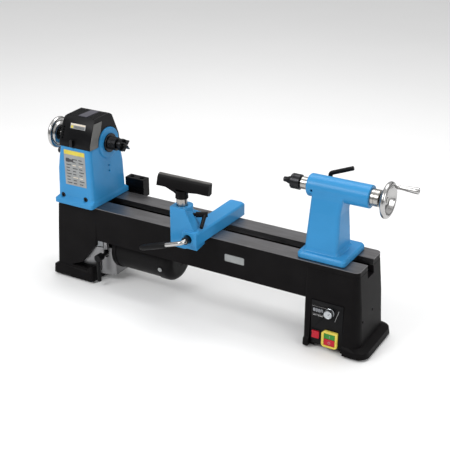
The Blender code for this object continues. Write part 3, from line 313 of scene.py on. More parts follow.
def box(name, low, high, look="black_plastic", place=(0, 0, 0)):
    low, high = Vector(low), Vector(high)
    shape = bmesh.new()
    bmesh.ops.create_cube(shape, size=1.0)
    bmesh.ops.scale(shape, vec=high - low, verts=shape.verts)
    bmesh.ops.translate(shape, vec=(low + high) / 2, verts=shape.verts)
    return from_bmesh(name, shape, look, place)


def rod(name, radius, start, length, along, look="steel", tip_radius=None, segments=48):
    shape = bmesh.new()
    bmesh.ops.create_cone(
        shape,
        cap_ends=True,
        segments=segments,
        radius1=radius,
        radius2=radius if tip_radius is None else tip_radius,
        depth=length,
        matrix=Matrix.Translation((0, 0, length / 2)),
    )
    return smooth(from_bmesh(name, shape, look, start, along))


def turned(name, profile, place, along, look, steps=72, ring=False):
    """Turns (radius, height) points, listed upwards along the outer side."""
    points = [(radius, 0.0, height) for radius, height in reversed(profile)]
    edges = [(index, index + 1) for index in range(len(points) - 1)]
    if ring:
        edges.append((len(points) - 1, 0))
    mesh = bpy.data.meshes.new(name)
    mesh.from_pydata(points, edges, [])
    obj = add_piece(name, mesh, look, place, along)
    screw = obj.modifiers.new("Turn", "SCREW")
    screw.steps = steps
    screw.render_steps = steps
    screw.use_merge_vertices = True
    screw.merge_threshold = 0.00001
    bpy.context.view_layer.update()
    graph = bpy.context.evaluated_depsgraph_get()
    solid = bpy.data.meshes.new_from_object(obj.evaluated_get(graph))
    obj.modifiers.clear()
    obj.data = solid
    return smooth(obj, 30.0)


def loft(name, sections, look, place=(0, 0, 0), degrees=30.0):
    shape = bmesh.new()
    rings = [[shape.verts.new(point) for point in section] for section in sections]
    count = len(rings[0])
    for lower, upper in zip(rings, rings[1:]):
        for index in range(count):
            after = (index + 1) % count
            shape.faces.new((lower[index], lower[after], upper[after], upper[index]))
    shape.faces.new(reversed(rings[0]))
    shape.faces.new(rings[-1])
    return smooth(from_bmesh(name, shape, look, place), degrees)


def rounded_outline(u_range, v_range, radii, steps=8):
    (u0, u1), (v0, v1) = u_range, v_range
    if not isinstance(radii, tuple):
        radii = (radii,) * 4
    corners = ((u0, v0, 1, 1), (u1, v0, -1, 1), (u1, v1, -1, -1), (u0, v1, 1, -1))
    points = []
    for index, ((u, v, du, dv), radius) in enumerate(zip(corners, radii)):
        middle = (u + du * radius, v + dv * radius)
        first = math.pi + index * math.pi / 2
        for step in range(steps + 1):
            angle = first + step / steps * math.pi / 2
            points.append(
                (middle[0] + radius * math.cos(angle), middle[1] + radius * math.sin(angle))
            )
    return points


def stack(name, levels, look, place=(0, 0, 0), steps=8):
    sections = [
        [(x, y, height) for x, y in rounded_outline(across, deep, radii, steps)]
        for height, across, deep, radii in levels
    ]
    return loft(name, sections, look, place)


def plate(name, outline, low, high, normal, look, holes=()):
    curve = bpy.data.curves.new(name, "CURVE")
    curve.dimensions = "2D"
    curve.fill_mode = "BOTH"
    curve.extrude = (high - low) / 2
    for points in (outline, *holes):
        spline = curve.splines.new("POLY")
        spline.points.add(len(points) - 1)
        for point, (u, v) in zip(spline.points, points):
            point.co = (u, v, 0.0, 1.0)
        spline.use_cyclic_u = True
    guide = bpy.data.objects.new(name + "_outline", curve)
    bpy.context.scene.collection.objects.link(guide)
    middle = (low + high) / 2
    frames = {
        "X": Matrix(((0, 0, 1, middle), (1, 0, 0, 0), (0, 1, 0, 0), (0, 0, 0, 1))),
        "Y": Matrix(((1, 0, 0, 0), (0, 0, -1, middle), (0, 1, 0, 0), (0, 0, 0, 1))),
        "Z": Matrix.Translation((0, 0, middle)),
    }
    return mesh_of_curve(name, guide, frames[normal], look)


def mesh_of_curve(name, guide, placing, look):
    bpy.context.view_layer.update()
    graph = bpy.context.evaluated_depsgraph_get()
    mesh = bpy.data.meshes.new_from_object(guide.evaluated_get(graph))
    bpy.data.objects.remove(guide, do_unlink=True)
    shape = bmesh.new()
    shape.from_mesh(mesh)
    bpy.data.meshes.remove(mesh)
    bmesh.ops.remove_doubles(shape, verts=shape.verts, dist=0.00001)
    bmesh.ops.transform(shape, matrix=placing, verts=shape.verts)
    return smooth(from_bmesh(name, shape, look))


def tube(name, points, radius, look, resolution=8):
    curve = bpy.data.curves.new(name, "CURVE")
    curve.dimensions = "3D"
    curve.bevel_depth = radius
    curve.bevel_resolution = resolution
    curve.use_fill_caps = True
    spline = curve.splines.new("POLY")
    spline.points.add(len(points) - 1)
    for point, place in zip(spline.points, points):
        point.co = (*place, 1.0)
    guide = bpy.data.objects.new(name + "_path", curve)
    bpy.context.scene.collection.objects.link(guide)
    return mesh_of_curve(name, guide, Matrix.Identity(4), look)


def bend(start, corner, end, radius, steps=12):
    start, corner, end = Vector(start), Vector(corner), Vector(end)
    back = (start - corner).normalized()
    ahead = (end - corner).normalized()
    half = back.angle(ahead) / 2
    middle = corner + (back + ahead).normalized() * radius / math.sin(half)
    first = corner + back * radius / math.tan(half) - middle
    last = corner + ahead * radius / math.tan(half) - middle
    turns = [first.slerp(last, step / steps).normalized() for step in range(steps + 1)]
    return [middle + turn * radius for turn in turns]


def circle(u, v, radius, segments=48):
    turns = [2 * math.pi * step / segments for step in range(segments)]
    return [(u + radius * math.cos(turn), v + radius * math.sin(turn)) for turn in turns]


def apply_all(obj):
    bpy.context.view_layer.update()
    graph = bpy.context.evaluated_depsgraph_get()
    mesh = bpy.data.meshes.new_from_object(obj.evaluated_get(graph))
    obj.modifiers.clear()
    obj.data = mesh
    return obj


def combine(obj, others, operation):
    for other in others:
        modifier = obj.modifiers.new(other.name, "BOOLEAN")
        modifier.operation = operation
        modifier.object = other
        modifier.solver = "EXACT"
        modifier.material_mode = "TRANSFER"
    apply_all(obj)
    for other in others:
        bpy.data.objects.remove(other, do_unlink=True)
    return obj


def cut(obj, *others):
    return combine(obj, others, "DIFFERENCE")


def unite(obj, *others):
    return combine(obj, others, "UNION")


def cast(obj, voxel, rounds=6):
    """Melts joined shapes together, so that their meeting lines get the fillets of a casting."""
    remesh = obj.modifiers.new("Remesh", "REMESH")
    remesh.mode = "VOXEL"
    remesh.voxel_size = voxel
    remesh.use_smooth_shade = True
    relax = obj.modifiers.new("Relax", "SMOOTH")
    relax.factor = 0.5
    relax.iterations = rounds
    look = obj.data.materials[0]
    apply_all(obj)
    obj.data.materials.clear()
    obj.data.materials.append(look)
    obj.data.shade_smooth()
    return obj


def soften(obj, width, segments=3, degrees=38.0):
    """Small rounded edges with clean shading."""
    bevel = obj.modifiers.new("Edges", "BEVEL")
    bevel.width = width
    bevel.segments = segments
    bevel.limit_method = "ANGLE"
    bevel.angle_limit = math.radians(degrees)
    bevel.use_clamp_overlap = True
    bevel.harden_normals = False
    apply_all(obj)
    smooth(obj, 40.0)
    even = obj.modifiers.new("Normals", "WEIGHTED_NORMAL")
    even.keep_sharp = True
    even.weight = 90
    return obj


def fit(obj, body, *nodes, slot=None):
    """The piece rides on a body and stands for CAD nodes. The slot argument is not used."""
    bpy.context.view_layer.update()
    obj.data.transform(obj.matrix_world)
    obj.matrix_world = Matrix.Identity(4)
    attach(obj, body)
    if nodes:
        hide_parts(*nodes)
    return obj


# Bed


def make_bed():
    top_round = (0.006, 0.012, 0.012, 0.006)
    span = (BED_LEFT + 0.002, BED_RIGHT)
    deep = (-BED_HALF, BED_HALF)
    bed = stack(
        "bed_fine",
        [(BED_BOTTOM, span, deep, top_round), (BED_TOP, span, deep, top_round)],
        "bed",
    )
    below_ways = BED_TOP - 0.014
    left_leg = stack("left_leg", [
        (0.007, (-0.437, -0.321), (-0.078, 0.078), 0.008),
        (BED_BOTTOM, (-0.4355, -0.312), (-0.068, 0.068), 0.006),
        (below_ways, (BED_LEFT, -0.309), (-0.0645, 0.0645), 0.006),
    ], "bed")
    left_foot = stack("left_foot", [
        (0.006, (-0.448, -0.320), (-0.083, 0.083), 0.010),
        (0.026, (-0.447, -0.320), (-0.0815, 0.0815), 0.010),
        (0.032, (-0.4360, -0.322), (-0.077, 0.077), 0.008),
    ], "bed")
    bump = stack("foot_bump", [
        (0.028, (-0.340, -0.3215), (-0.0805, -0.068), 0.004),
        (0.048, (-0.340, -0.3215), (-0.0800, -0.068), 0.004),
        (0.052, (-0.337, -0.3235), (-0.0780, -0.069), 0.003),
    ], "bed")
    right_round = (0.008, 0.026, 0.026, 0.008)
    right_leg = stack("right_leg", [
        (0.007, (0.2665, 0.401), (-0.078, 0.078), right_round),
        (BED_BOTTOM, (0.264, 0.394), (-0.0710, 0.0710), (0.006, 0.018, 0.018, 0.006)),
        (below_ways, (0.262, 0.3865), (-0.0655, 0.0655), top_round),
    ], "bed")
    right_foot = stack("right_foot", [
        (0.006, (0.266, 0.420), (-0.083, 0.083), right_round),
        (0.020, (0.266, 0.418), (-0.082, 0.082), right_round),
        (0.026, (0.268, 0.400), (-0.077, 0.077), right_round),
    ], "bed")
    unite(bed, left_leg, left_foot, bump, right_leg, right_foot)
    inner = BED_HALF - 0.012
    channel = box("channel", (-0.424, -inner, 0.100), (0.376, inner, below_ways))
    left_hollow = stack("left_hollow", [
        (-0.010, (-0.426, -0.329), (-0.070, 0.070), 0.010),
        (0.1795, (-0.423, -0.322), (-0.0525, 0.0525), 0.004),
    ], "bed")
    side_window = box("side_window", (-0.345, -0.062, 0.014), (-0.300, 0.062, 0.125))
    right_hollow = stack("right_hollow", [
        (-0.010, (0.2755, 0.391), (-0.0685, 0.0685), 0.012),
        (0.1795, (0.272, 0.375), (-0.0525, 0.0525), 0.004),
    ], "bed")
    arch_outline = [
        (-0.392, 0.037), (-0.356, 0.052), (-0.317, 0.104), (-0.290, 0.104), (-0.290, 0.031),
        (-0.312, 0.031), (-0.321, 0.045), (-0.331, 0.045), (-0.339, 0.037),
    ]
    arch = plate("leg_arch", arch_outline, -0.100, -0.050, "Y", "bed")
    slot = box("way_gap", (-0.345, -0.017, 0.174), (0.430, 0.017, 0.230))
    belt_hole = box("belt_hole", (-0.402, -0.044, 0.180), (-0.336, 0.044, 0.230))
    recess = box("panel_recess", (0.281, -0.100, -0.010), (0.360, -0.070, 0.122))
    window = box("panel_window", (0.287, -0.090, 0.016), (0.354, -0.050, 0.114))
    relief = box("foot_relief", (0.292, -0.100, -0.010), (0.364, 0.100, 0.011))
    inlet = rod("inlet_hole", 0.0142, (0.330, 0.100, 0.075), 0.060, "-Y")
    screws = [
        rod(f"end_hole_{index}", 0.003, (0.430, y, z), 0.060, "-X")
        for index, (y, z) in enumerate(((0.004, 0.090), (-0.050, 0.084)))
    ]
    cut(bed, channel, left_hollow, side_window, right_hollow, arch, slot, belt_hole)
    cut(bed, recess, window, relief, inlet, *screws)
    ribs = [
        box(f"rib_{index}", (x, -inner - 0.001, 0.120), (x + 0.010, inner + 0.001, 0.160), "bed")
        for index, x in enumerate((-0.075, 0.120))
    ]
    unite(bed, *ribs)
    repaint(bed, "bed")
    soften(bed, 0.0012, 2)
    fit(bed, "bed", "bed_casting")


def make_feet():
    spots = {
        "left_front": (-0.4180, -0.0600),
        "left_rear": (-0.4180, 0.0600),
        "right_front": (0.3780, -0.0640),
        "right_rear": (0.3780, 0.0640),
    }
    for name, (x, y) in spots.items():
        profile = [
            (0.0, 0.0), (0.0110, 0.0), (0.0120, 0.0010),
            (0.0125, 0.0050), (0.0125, 0.0057), (0.0, 0.0057),
        ]
        pad = turned("pad_" + name, profile, (x, y, 0.0), "+Z", "rubber", 40)
        fit(pad, "bed", "foot_" + name)


def flat_print(name, outline, front, thick, look, slot):
    """A thin sheet on a face that looks towards -Y."""
    sheet = plate(name, outline, front - thick, front, "Y", look)
    return fit(sheet, "bed", slot=slot)


def rectangle(x0, x1, z0, z1, radius=0.0004):
    return rounded_outline((x0, x1), (z0, z1), radius, 3)


def make_badges():
    face = -BED_HALF
    border = rectangle(0.0560, 0.1080, 0.1545, 0.1735, 0.0030)
    flat_print("nameplate_border", border, face, 0.0003, "label_dark", "bed_casting")
    blank = rectangle(0.0568, 0.1072, 0.1553, 0.1727, 0.0024)
    flat_print("nameplate_blank", blank, face - 0.0003, 0.0002, "label_grey", "bed_casting")


# Headstock


def make_headstock():
    base = (-0.425, -0.309)
    low = BED_TOP + GAP
    head = stack("headstock_fine", [
        (low, base, (-0.082, 0.075), 0.006),
        (0.217, base, (-0.082, 0.075), 0.006),
        (0.224, (-0.419, -0.310), (-0.074, 0.066), 0.008),
    ], "blue")
    body = stack("head_body", [
        (0.216, (-0.420, -0.310), (HEAD_FRONT, 0.063), 0.009),
        (0.295, (-0.416, -0.311), (HEAD_FRONT, 0.060), 0.009),
        (0.325, (-0.411, -0.3115), (HEAD_FRONT, 0.054), 0.009),
        (HEAD_TOP, (-0.404, -0.312), (HEAD_FRONT, 0.046), 0.009),
    ], "blue")
    right_boss = rod("boss_right", 0.0385, (-0.334, 0, SPINDLE_Z), 0.026, "+X", "blue", segments=72)
    left_boss = rod("boss_left", 0.0385, (-0.410, 0, SPINDLE_Z), 0.018, "+X", "blue", segments=72)
    unite(head, body, right_boss, left_boss)
    hollow = box("head_hollow", (-0.392, -0.060, 0.200), (-0.334, 0.044, 0.420))
    shaft_hole = rod("shaft_hole", 0.019, (-0.430, 0, SPINDLE_Z), 0.140, "+X")
    bolt_holes = [
        rod(f"bolt_hole_{index}", 0.0062, (x, -0.100, 0.2265), 0.034, "+Y")
        for index, x in enumerate((-0.403, -0.334))
    ]
    set_holes = [
        rod(f"set_hole_{index}", 0.0030, (-0.300, -0.002, z), 0.016, "-X")
        for index, z in enumerate((0.284, 0.298))
    ]
    pin_hole = rod("pin_hole", 0.0053, (-0.430, -0.045, 0.332), 0.050, "+X")
    cut(head, hollow, shaft_hole, pin_hole, *bolt_holes, *set_holes)
    repaint(head, "blue")
    cast(head, 0.0009, 5)
    fit(head, "bed", "headstock_casting")
    for side, x in (("left", -0.403), ("right", -0.334)):
        bolt = turned(
            f"bolt_{side}",
            [
                (0.0, 0.0), (0.0055, 0.0), (0.0055, 0.0064), (0.0050, 0.0070),
                (0.0030, 0.0070), (0.0030, 0.0035), (0.0, 0.0035),
            ],
            (x, -0.0663, 0.2265),
            "-Y",
            "black_steel",
            40,
        )
        fit(bolt, "bed", f"head_bolt_{side}")
    for name, x in (("front_race", -0.3398), ("rear_race", -0.4082)):
        profile = [(0.0258, 0.0), (0.0258, 0.015), (0.0167, 0.015), (0.0167, 0.0)]
        race = turned(name, profile, (x, 0, SPINDLE_Z), "+X", "steel", 64, ring=True)
        fit(race, "bed", name.replace("race", "bearing"))


def make_data_plate():
    """A generic chart on the headstock's front: a yellow header over a grid of small blank cells."""
    face = HEAD_FRONT - 0.0001
    slot = "headstock_casting"
    x0, x1, z0, z1 = -0.3920, -0.3280, 0.2580, 0.3490
    flat_print("plate_sheet", rectangle(x0, x1, z0, z1, 0.002), face, 0.0003, "label_grey", slot)
    printed = face - 0.0003
    header = rectangle(x0 + 0.001, x1 - 0.001, z1 - 0.0115, z1 - 0.001, 0.001)
    flat_print("plate_header", header, printed, 0.0002, "label_yellow", slot)
    for column in range(3):
        for row in range(9):
            left = x0 + 0.006 + column * 0.0190
            low = z0 + 0.0050 + row * 0.0078
            wide = 0.0100 if (row + column) % 3 else 0.0145
            tone = "label_dark" if row % 4 != 2 or column == 0 else "label_pale"
            cell = rectangle(left, left + wide, low, low + 0.0022, 0.0003)
            flat_print(f"plate_cell_{column}_{row}", cell, printed, 0.0002, tone, slot)
    block = rectangle(x0 + 0.0050, x0 + 0.0280, z1 - 0.0300, z1 - 0.0235, 0.0003)
    flat_print("plate_block", block, face - 0.0005, 0.0002, "label_dark", slot)


def cover_outline(inset=0.0):
    return [
        (HEAD_FRONT + inset, HEAD_TOP + GAP - inset),
        (-0.0730 + inset, 0.366),
        (-0.0530 + inset, 0.418 - inset / 2),
        (-0.0450 + inset, 0.428 - inset),
        (0.0100 - inset / 2, 0.430 - inset),
        (0.0200 - inset, 0.424 - inset / 2),
        (0.0440 - inset, 0.370),
        (0.0455 - inset, HEAD_TOP + GAP - inset),
    ]


def make_cover():
    left, right = -0.405, -0.3115
    shade = 0.0040
    sections = []
    for x, rise in ((left, 0.006), (left + 0.008, 0.0), (right, 0.0)):
        sections.append([(x, y * (1 - rise * 4), z - rise * (z > 0.40)) for y, z in cover_outline()])
    cover = loft("cover_fine", sections, "cover_plastic")
    inside = [[(x, y, z) for y, z in cover_outline(shade)] for x in (left + shade, right - shade)]
    hollow = loft("cover_hollow", inside, "cover_plastic")
    bottom = box("cover_bottom", (-0.43, -0.09, 0.340), (-0.30, 0.06, HEAD_TOP + GAP))
    arches = [
        rod(f"cover_arch_{index}", 0.0397, (x, 0, SPINDLE_Z), 0.030, "+X", segments=72)
        for index, x in enumerate((-0.4250, -0.3300))
    ]
    panel_seat = box("panel_seat", (-0.363, -0.0440, 0.4275), (-0.338, 0.0085, 0.440))
    cut(cover, hollow, bottom, *arches, panel_seat)
    soften(cover, 0.0022, 3, 30.0)
    vents = []
    for first, last in ((-0.3960, -0.3665), (-0.3345, -0.3160)):
        for row in range(11):
            y = -0.0440 + row * 0.0052
            vents.append(box(f"vent_{first}_{row}", (first, y, 0.4255), (last, y + 0.0022, 0.4420)))
    front_slots = [
        box(
            f"front_vent_{row}",
            (-0.3985, -0.090, 0.3745 + row * 0.0062),
            (-0.3930, -0.040, 0.3775 + row * 0.0062),
        )
        for row in range(5)
    ]
    cut(cover, *vents, *front_slots)
    knuckles = [
        rod(f"knuckle_{index}", 0.0034, (x, 0.0480, 0.3590), 0.016, "+X", "cover_plastic")
        for index, x in enumerate((-0.392, -0.345))
    ]
    unite(cover, *knuckles)
    repaint(cover, "cover_plastic")
    smooth(cover, 35.0)
    fit(cover, "cover", "belt_cover")
    top = box("cover_top_fine", (-0.3627, -0.0435, 0.4279), (-0.3383, 0.0080, 0.4305), "grey_plastic")
    soften(top, 0.0007, 2)
    fit(top, "cover", "cover_top_panel")
    side_outline = [
        (-0.0725, 0.3570), (-0.0725, 0.3655), (-0.0525, 0.4175), (-0.0220, 0.4175),
        (-0.0300, 0.3920), (-0.0400, 0.3770), (-0.0420, 0.3570),
    ]
    side = plate("cover_side_fine", side_outline, right + GAP, right + 0.0018, "X", "side_grey")
    soften(side, 0.0004, 2)
    fit(side, "cover", "cover_side_plate")
    latch = box("latch_fine", (-0.004, -0.0065, -0.009), (0.004, -0.0003, 0.009), "black_steel")
    latch.location = (-0.364, HEAD_FRONT, 0.3680)
    soften(latch, 0.0012, 3)
    fit(latch, "cover", "cover_latch")
    make_cover_label()


def make_cover_label():
    """A small pale label on the cover's sloping front, with plain bars."""
    lean = math.atan2(0.0200, 0.052)
    low_y, low_z = -0.0730, 0.366

    def sheet(name, x0, x1, s0, s1, lift, look):
        piece = plate(name, rectangle(x0, x1, s0, s1, 0.0008), 0.0, 0.0003, "Y", look)
        turn = Matrix.Translation((0, low_y, low_z)) @ Matrix.Rotation(-lean, 4, "X")
        piece.data.transform(turn @ Matrix.Translation((0, -lift, 0)))
        return fit(piece, "cover", slot="belt_cover")

    sheet("cover_label", -0.3775, -0.3325, 0.0370, 0.0500, 0.0004, "label_grey")
    sheet("cover_label_band", -0.3765, -0.3335, 0.0455, 0.0492, 0.0007, "label_pale")
    sheet("cover_label_sign", -0.3755, -0.3690, 0.0382, 0.0442, 0.0007, "label_yellow")
    for row in range(3):
        low = 0.0385 + row * 0.0021
        sheet(f"cover_label_bar_{row}", -0.3660, -0.3360, low, low + 0.0009, 0.0007, "label_dark")


# Spindle


def make_spindle():
    left, nose = -0.4620, -0.281
    profile = [
        (0.0052, 0.0), (0.0096, 0.0), (0.0100, 0.0005), (0.0100, 0.045), (0.0125, 0.045),
        (0.0125, 0.1480), (0.0160, 0.1485), (0.0160, 0.1530),
    ]
    height = 0.1535
    while height < nose - left - 0.002:
        profile += [(0.0164, height), (0.0153, height + 0.0009)]
        height += 0.0018
    profile += [
        (0.0155, nose - left), (0.0090, nose - left), (0.0078, nose - left - 0.060),
        (0.0052, nose - left - 0.062),
    ]
    spindle = turned("spindle_fine", profile, (left, 0, SPINDLE_Z), "+X", "black_steel", 72, ring=True)
    fit(spindle, "spindle_group", "spindle")
    collar = [
        (0.0222, 0.0), (0.0235, 0.0008), (0.0235, 0.0038), (0.0225, 0.0048), (0.0168, 0.0048),
        (0.0168, 0.0),
    ]
    ring = turned("collar_fine", collar, (-0.3075, 0, SPINDLE_Z), "+X", "black_steel", 72, ring=True)
    fit(ring, "spindle_group", "spindle_collar")
    hub = [
        (0.0265, 0.0), (0.0280, 0.0018), (0.0280, 0.0110), (0.0262, 0.0132), (0.0230, 0.0150),
        (0.0130, 0.0150), (0.0130, 0.0),
    ]
    disc = turned("lock_ring_fine", hub, (-0.4250, 0, SPINDLE_Z), "-X", "black_steel", 72, ring=True)
    fit(disc, "spindle_group", "spindle_lock_ring")
    make_spur_centre(nose)
    wheel = handwheel("outboard_wheel_fine", -0.4425, "-X", 0.0103, 0.0225)
    fit(wheel, "spindle_group", "outboard_handwheel")


def make_spur_centre(nose):
    place = (nose - 0.055, 0, SPINDLE_Z)
    profile = [
        (0.0, 0.0), (0.0072, 0.0), (0.0084, 0.0553), (0.0106, 0.0556), (0.0110, 0.0560),
        (0.0110, 0.0618), (0.0150, 0.0636), (0.0155, 0.0642), (0.0155, 0.0700),
        (0.0042, 0.0710), (0.0036, 0.0790), (0.0, 0.0860),
    ]
    centre = turned("spur_fine", profile, place, "+X", "black_steel", 64)
    prongs = []
    for index in range(4):
        prong = box(f"prong_{index}", (0.0650, -0.0014, 0.0040), (0.0810, 0.0014, 0.0148), "black_steel")
        prong.location = place
        prong.rotation_euler = (math.pi / 4 + index * math.pi / 2, 0, 0)
        prongs.append(prong)
    unite(centre, *prongs)
    fit(smooth(centre), "spindle_group", "spur_centre")


def handwheel(name, x, along, bore, depth):
    rim, radius = 0.0058, 0.0405
    middle = (radius - rim, depth)
    arc = []
    for step in range(25):
        turn = math.radians(-135 + step * 280 / 24)
        arc.append((middle[0] + rim * math.cos(turn), middle[1] + rim * math.sin(turn)))
    profile = [
        (0.0118, 0.0), (0.0125, 0.0007), (0.0125, depth - 0.0145), (0.0150, depth - 0.0135),
        (0.0220, depth - 0.0125), (0.0265, depth - 0.0105), (0.0295, depth - 0.0075),
        *arc,
        (0.0270, depth - 0.0040), (0.0240, depth - 0.0065), (0.0200, depth - 0.0087),
        (0.0150, depth - 0.0099), (0.0112, depth - 0.0095), (0.0105, depth - 0.0083),
        (0.0105, depth - 0.0035), (0.0100, depth - 0.0030), (bore, depth - 0.0030), (bore, 0.0),
    ]
    return turned(name, profile, (x, 0, SPINDLE_Z), along, "chrome", 96, ring=True)


def make_index_pin():
    profile = [
        (0.0, 0.0), (0.0050, 0.0), (0.0050, 0.0240), (0.0073, 0.0244), (0.0080, 0.0258),
        (0.0074, 0.0285), (0.0080, 0.0310), (0.0080, 0.0338), (0.0070, 0.0350), (0.0, 0.0350),
    ]
    pin = turned("index_pin_fine", profile, (-0.3935, -0.045, 0.332), "-X", "black_steel", 48)
    fit(pin, "index_pin", "index_pin")


def make_tool_holder():
    low = BED_HALF + 0.0025
    rack = box("rack_fine", (-0.301, low, 0.150), (-0.279, low + 0.005, 0.204), "black_enamel")
    spacer = box("rack_spacer", (-0.298, BED_HALF + GAP, 0.184), (-0.282, 0.090, 0.203), "black_enamel")
    block = box("rack_block", (-0.3245, 0.080, 0.1900), (-0.2685, 0.106, 0.2380), "black_enamel")
    unite(rack, spacer, block)
    holes = [
        rod(f"rack_hole_{index}", 0.0060, (x, 0.093, 0.215), 0.050, "+Z")
        for index, x in enumerate((-0.311, -0.282))
    ]
    groove = box("rack_groove", (-0.3260, 0.078, 0.2120), (-0.2670, 0.0815, 0.2160))
    cut(rack, *holes, groove)
    repaint(rack, "black_enamel")
    soften(rack, 0.0009, 2)
    fit(rack, "bed", "tool_holder")


# Motor


def make_motor():
    can = [
        (0.0, 0.0060), (0.0110, 0.0060), (0.0110, 0.0), (0.0500, 0.0), (0.0545, 0.0008),
        (0.0550, 0.0020), (0.0550, 0.0120), (0.0545, 0.0126), (0.0530, 0.0128),
        (0.0530, CAN_LENGTH), (0.0, CAN_LENGTH),
    ]
    body = turned("motor_fine", can, (MOTOR_LEFT, 0, MOTOR_Z), "+X", "black_enamel", 96)
    fit(body, "motor_carrier", "motor_body")
    start = MOTOR_LEFT + CAN_LENGTH + GAP
    depth = -0.105 - start
    bell = [(0.0, 0.0), (0.0546, 0.0), (0.0550, 0.0006), (0.0550, depth - 0.020)]
    for step in range(1, 15):
        turn = math.radians(step * 6.4)
        bell.append((0.0350 + 0.020 * math.cos(turn), depth - 0.020 + 0.020 * math.sin(turn)))
    bell += [(0.0150, depth), (0.0145, depth - 0.0010), (0.0, depth - 0.0010)]
    end_bell = turned("end_bell_fine", bell, (start, 0, MOTOR_Z), "+X", "black_enamel", 96)
    caps = []
    for index, turn in enumerate((BRUSH_ANGLE, math.radians(10))):
        out = Vector((0.0, math.cos(turn), math.sin(turn)))
        profile = [(0.0, 0.0), (0.0080, 0.0), (0.0080, 0.0082), (0.0074, 0.0090), (0.0, 0.0090)]
        holder = turned(f"holder_{index}", profile, (0, 0, 0), "+Z", "black_enamel", 40)
        holder.location = Vector((start + 0.010, 0.0, MOTOR_Z)) + out * 0.0475
        holder.rotation_euler = out.to_track_quat("Z", "Y").to_euler()
        caps.append(holder)
    unite(end_bell, *caps)
    repaint(end_bell, "black_enamel")
    fit(smooth(end_bell), "motor_carrier", "motor_end_bell")
    # The brush cap is real, but its light-grey disc is a painted highlight that stands in for the crescent
    # reflection on the cap's edge.
    out = Vector((0.0, math.cos(BRUSH_ANGLE), math.sin(BRUSH_ANGLE)))
    disc = [(0.0, 0.0), (0.0055, 0.0), (0.0055, 0.0010), (0.0, 0.0014)]
    cap_highlight = turned("brush_cap_painted_highlight", disc, (0, 0, 0), "+Z", "label_grey", 40)
    cap_highlight.location = Vector((start + 0.010, 0.0, MOTOR_Z)) + out * 0.0566
    cap_highlight.rotation_euler = out.to_track_quat("Z", "Y").to_euler()
    fit(cap_highlight, "motor_carrier", slot="motor_end_bell")


def belt_outline(offset):
    """The loop round the middle steps of both pulleys, this far outside them."""
    upper = 0.030 + offset
    lower = 0.026 + offset
    tilt = math.asin((upper - lower) / (SPINDLE_Z - MOTOR_Z))
    arcs = (
        (SPINDLE_Z, upper, -tilt, math.pi + 2 * tilt),
        (MOTOR_Z, lower, math.pi + tilt, math.pi - 2 * tilt),
    )
    points = []
    for centre, radius, first, sweep in arcs:
        for step in range(37):
            turn = first + sweep * step / 36
            points.append((radius * math.cos(turn), centre + radius * math.sin(turn)))
    return points


def make_belt():
    belt = plate("belt_fine", belt_outline(0.0036), -0.3745, -0.3635, "X", "rubber", (belt_outline(0.0006),))
    fit(belt, "bed", "drive_belt")
    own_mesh(belt)


def make_motor_plate():
    outside = [
        (-0.2790, 0.048), (-0.2790, -0.036), (-0.2860, -0.0400), (-0.3500, -0.0570),
        (-0.3980, -0.0500),
    ]
    inside = [
        (-0.3975, -0.0460), (-0.3505, -0.0527), (-0.2880, -0.0360), (-0.2832, -0.0330),
        (-0.2832, 0.048),
    ]
    bracket = plate("bracket_fine", outside + inside, 0.018, 0.138, "Z", "bright_plate")
    hub_hole = rod("bracket_hole", 0.0150, (-0.300, 0, MOTOR_Z), 0.040, "+X")
    trim = box("bracket_trim", (-0.420, -0.070, 0.092), (-0.2835, -0.020, 0.200))
    slots = [
        plate(name, rounded_outline(across, height, radius), -0.070, -0.030, "Y", "bright_plate")
        for name, across, height, radius in (
            ("bracket_slot", (-0.3235, -0.3145), (0.026, 0.062), 0.0044),
            ("stud_slot", (-0.3085, -0.2955), (0.066, 0.088), 0.0060),
        )
    ]
    cut(bracket, hub_hole, trim, *slots)
    pillar = rod("motor_pillar", 0.0072, (-0.3020, -0.0440, 0.0905), 0.0560, "+Z", "bright_plate")
    unite(bracket, pillar)
    repaint(bracket, "bright_plate")
    soften(bracket, 0.0006, 2)
    fit(bracket, "motor_carrier", "motor_bracket")
    head = rod("motor_lock_fine", 0.0095, (-0.3020, -0.0640, 0.0770), 0.018, "-Y", "black_plastic")
    path = bend((-0.3020, -0.0720, 0.0770), (-0.3018, -0.0790, 0.0680), (-0.3010, -0.0790, 0.0140), 0.006)
    route = [(-0.3020, -0.0720, 0.0770), *path, (-0.3010, -0.0790, 0.0140)]
    arm = tube("lock_arm", route, 0.0048, "black_plastic")
    stud = rod("lock_stud", 0.0040, (-0.3020, -0.0680, 0.0770), 0.0300, "+Y", "black_plastic")
    unite(head, arm, stud)
    soften(head, 0.0010, 3, 50.0)
    fit(head, "motor_lock", "motor_lock_lever")


# Tool rest


def web_section(height, right, rear):
    left, front = POST_X - 0.0195, POST_Y - 0.0235
    return [
        (left, front + 0.004, height), (left + 0.004, front, height), (right, front, height),
        (right - 0.006, rear, height), (left + 0.006, rear, height),
    ]


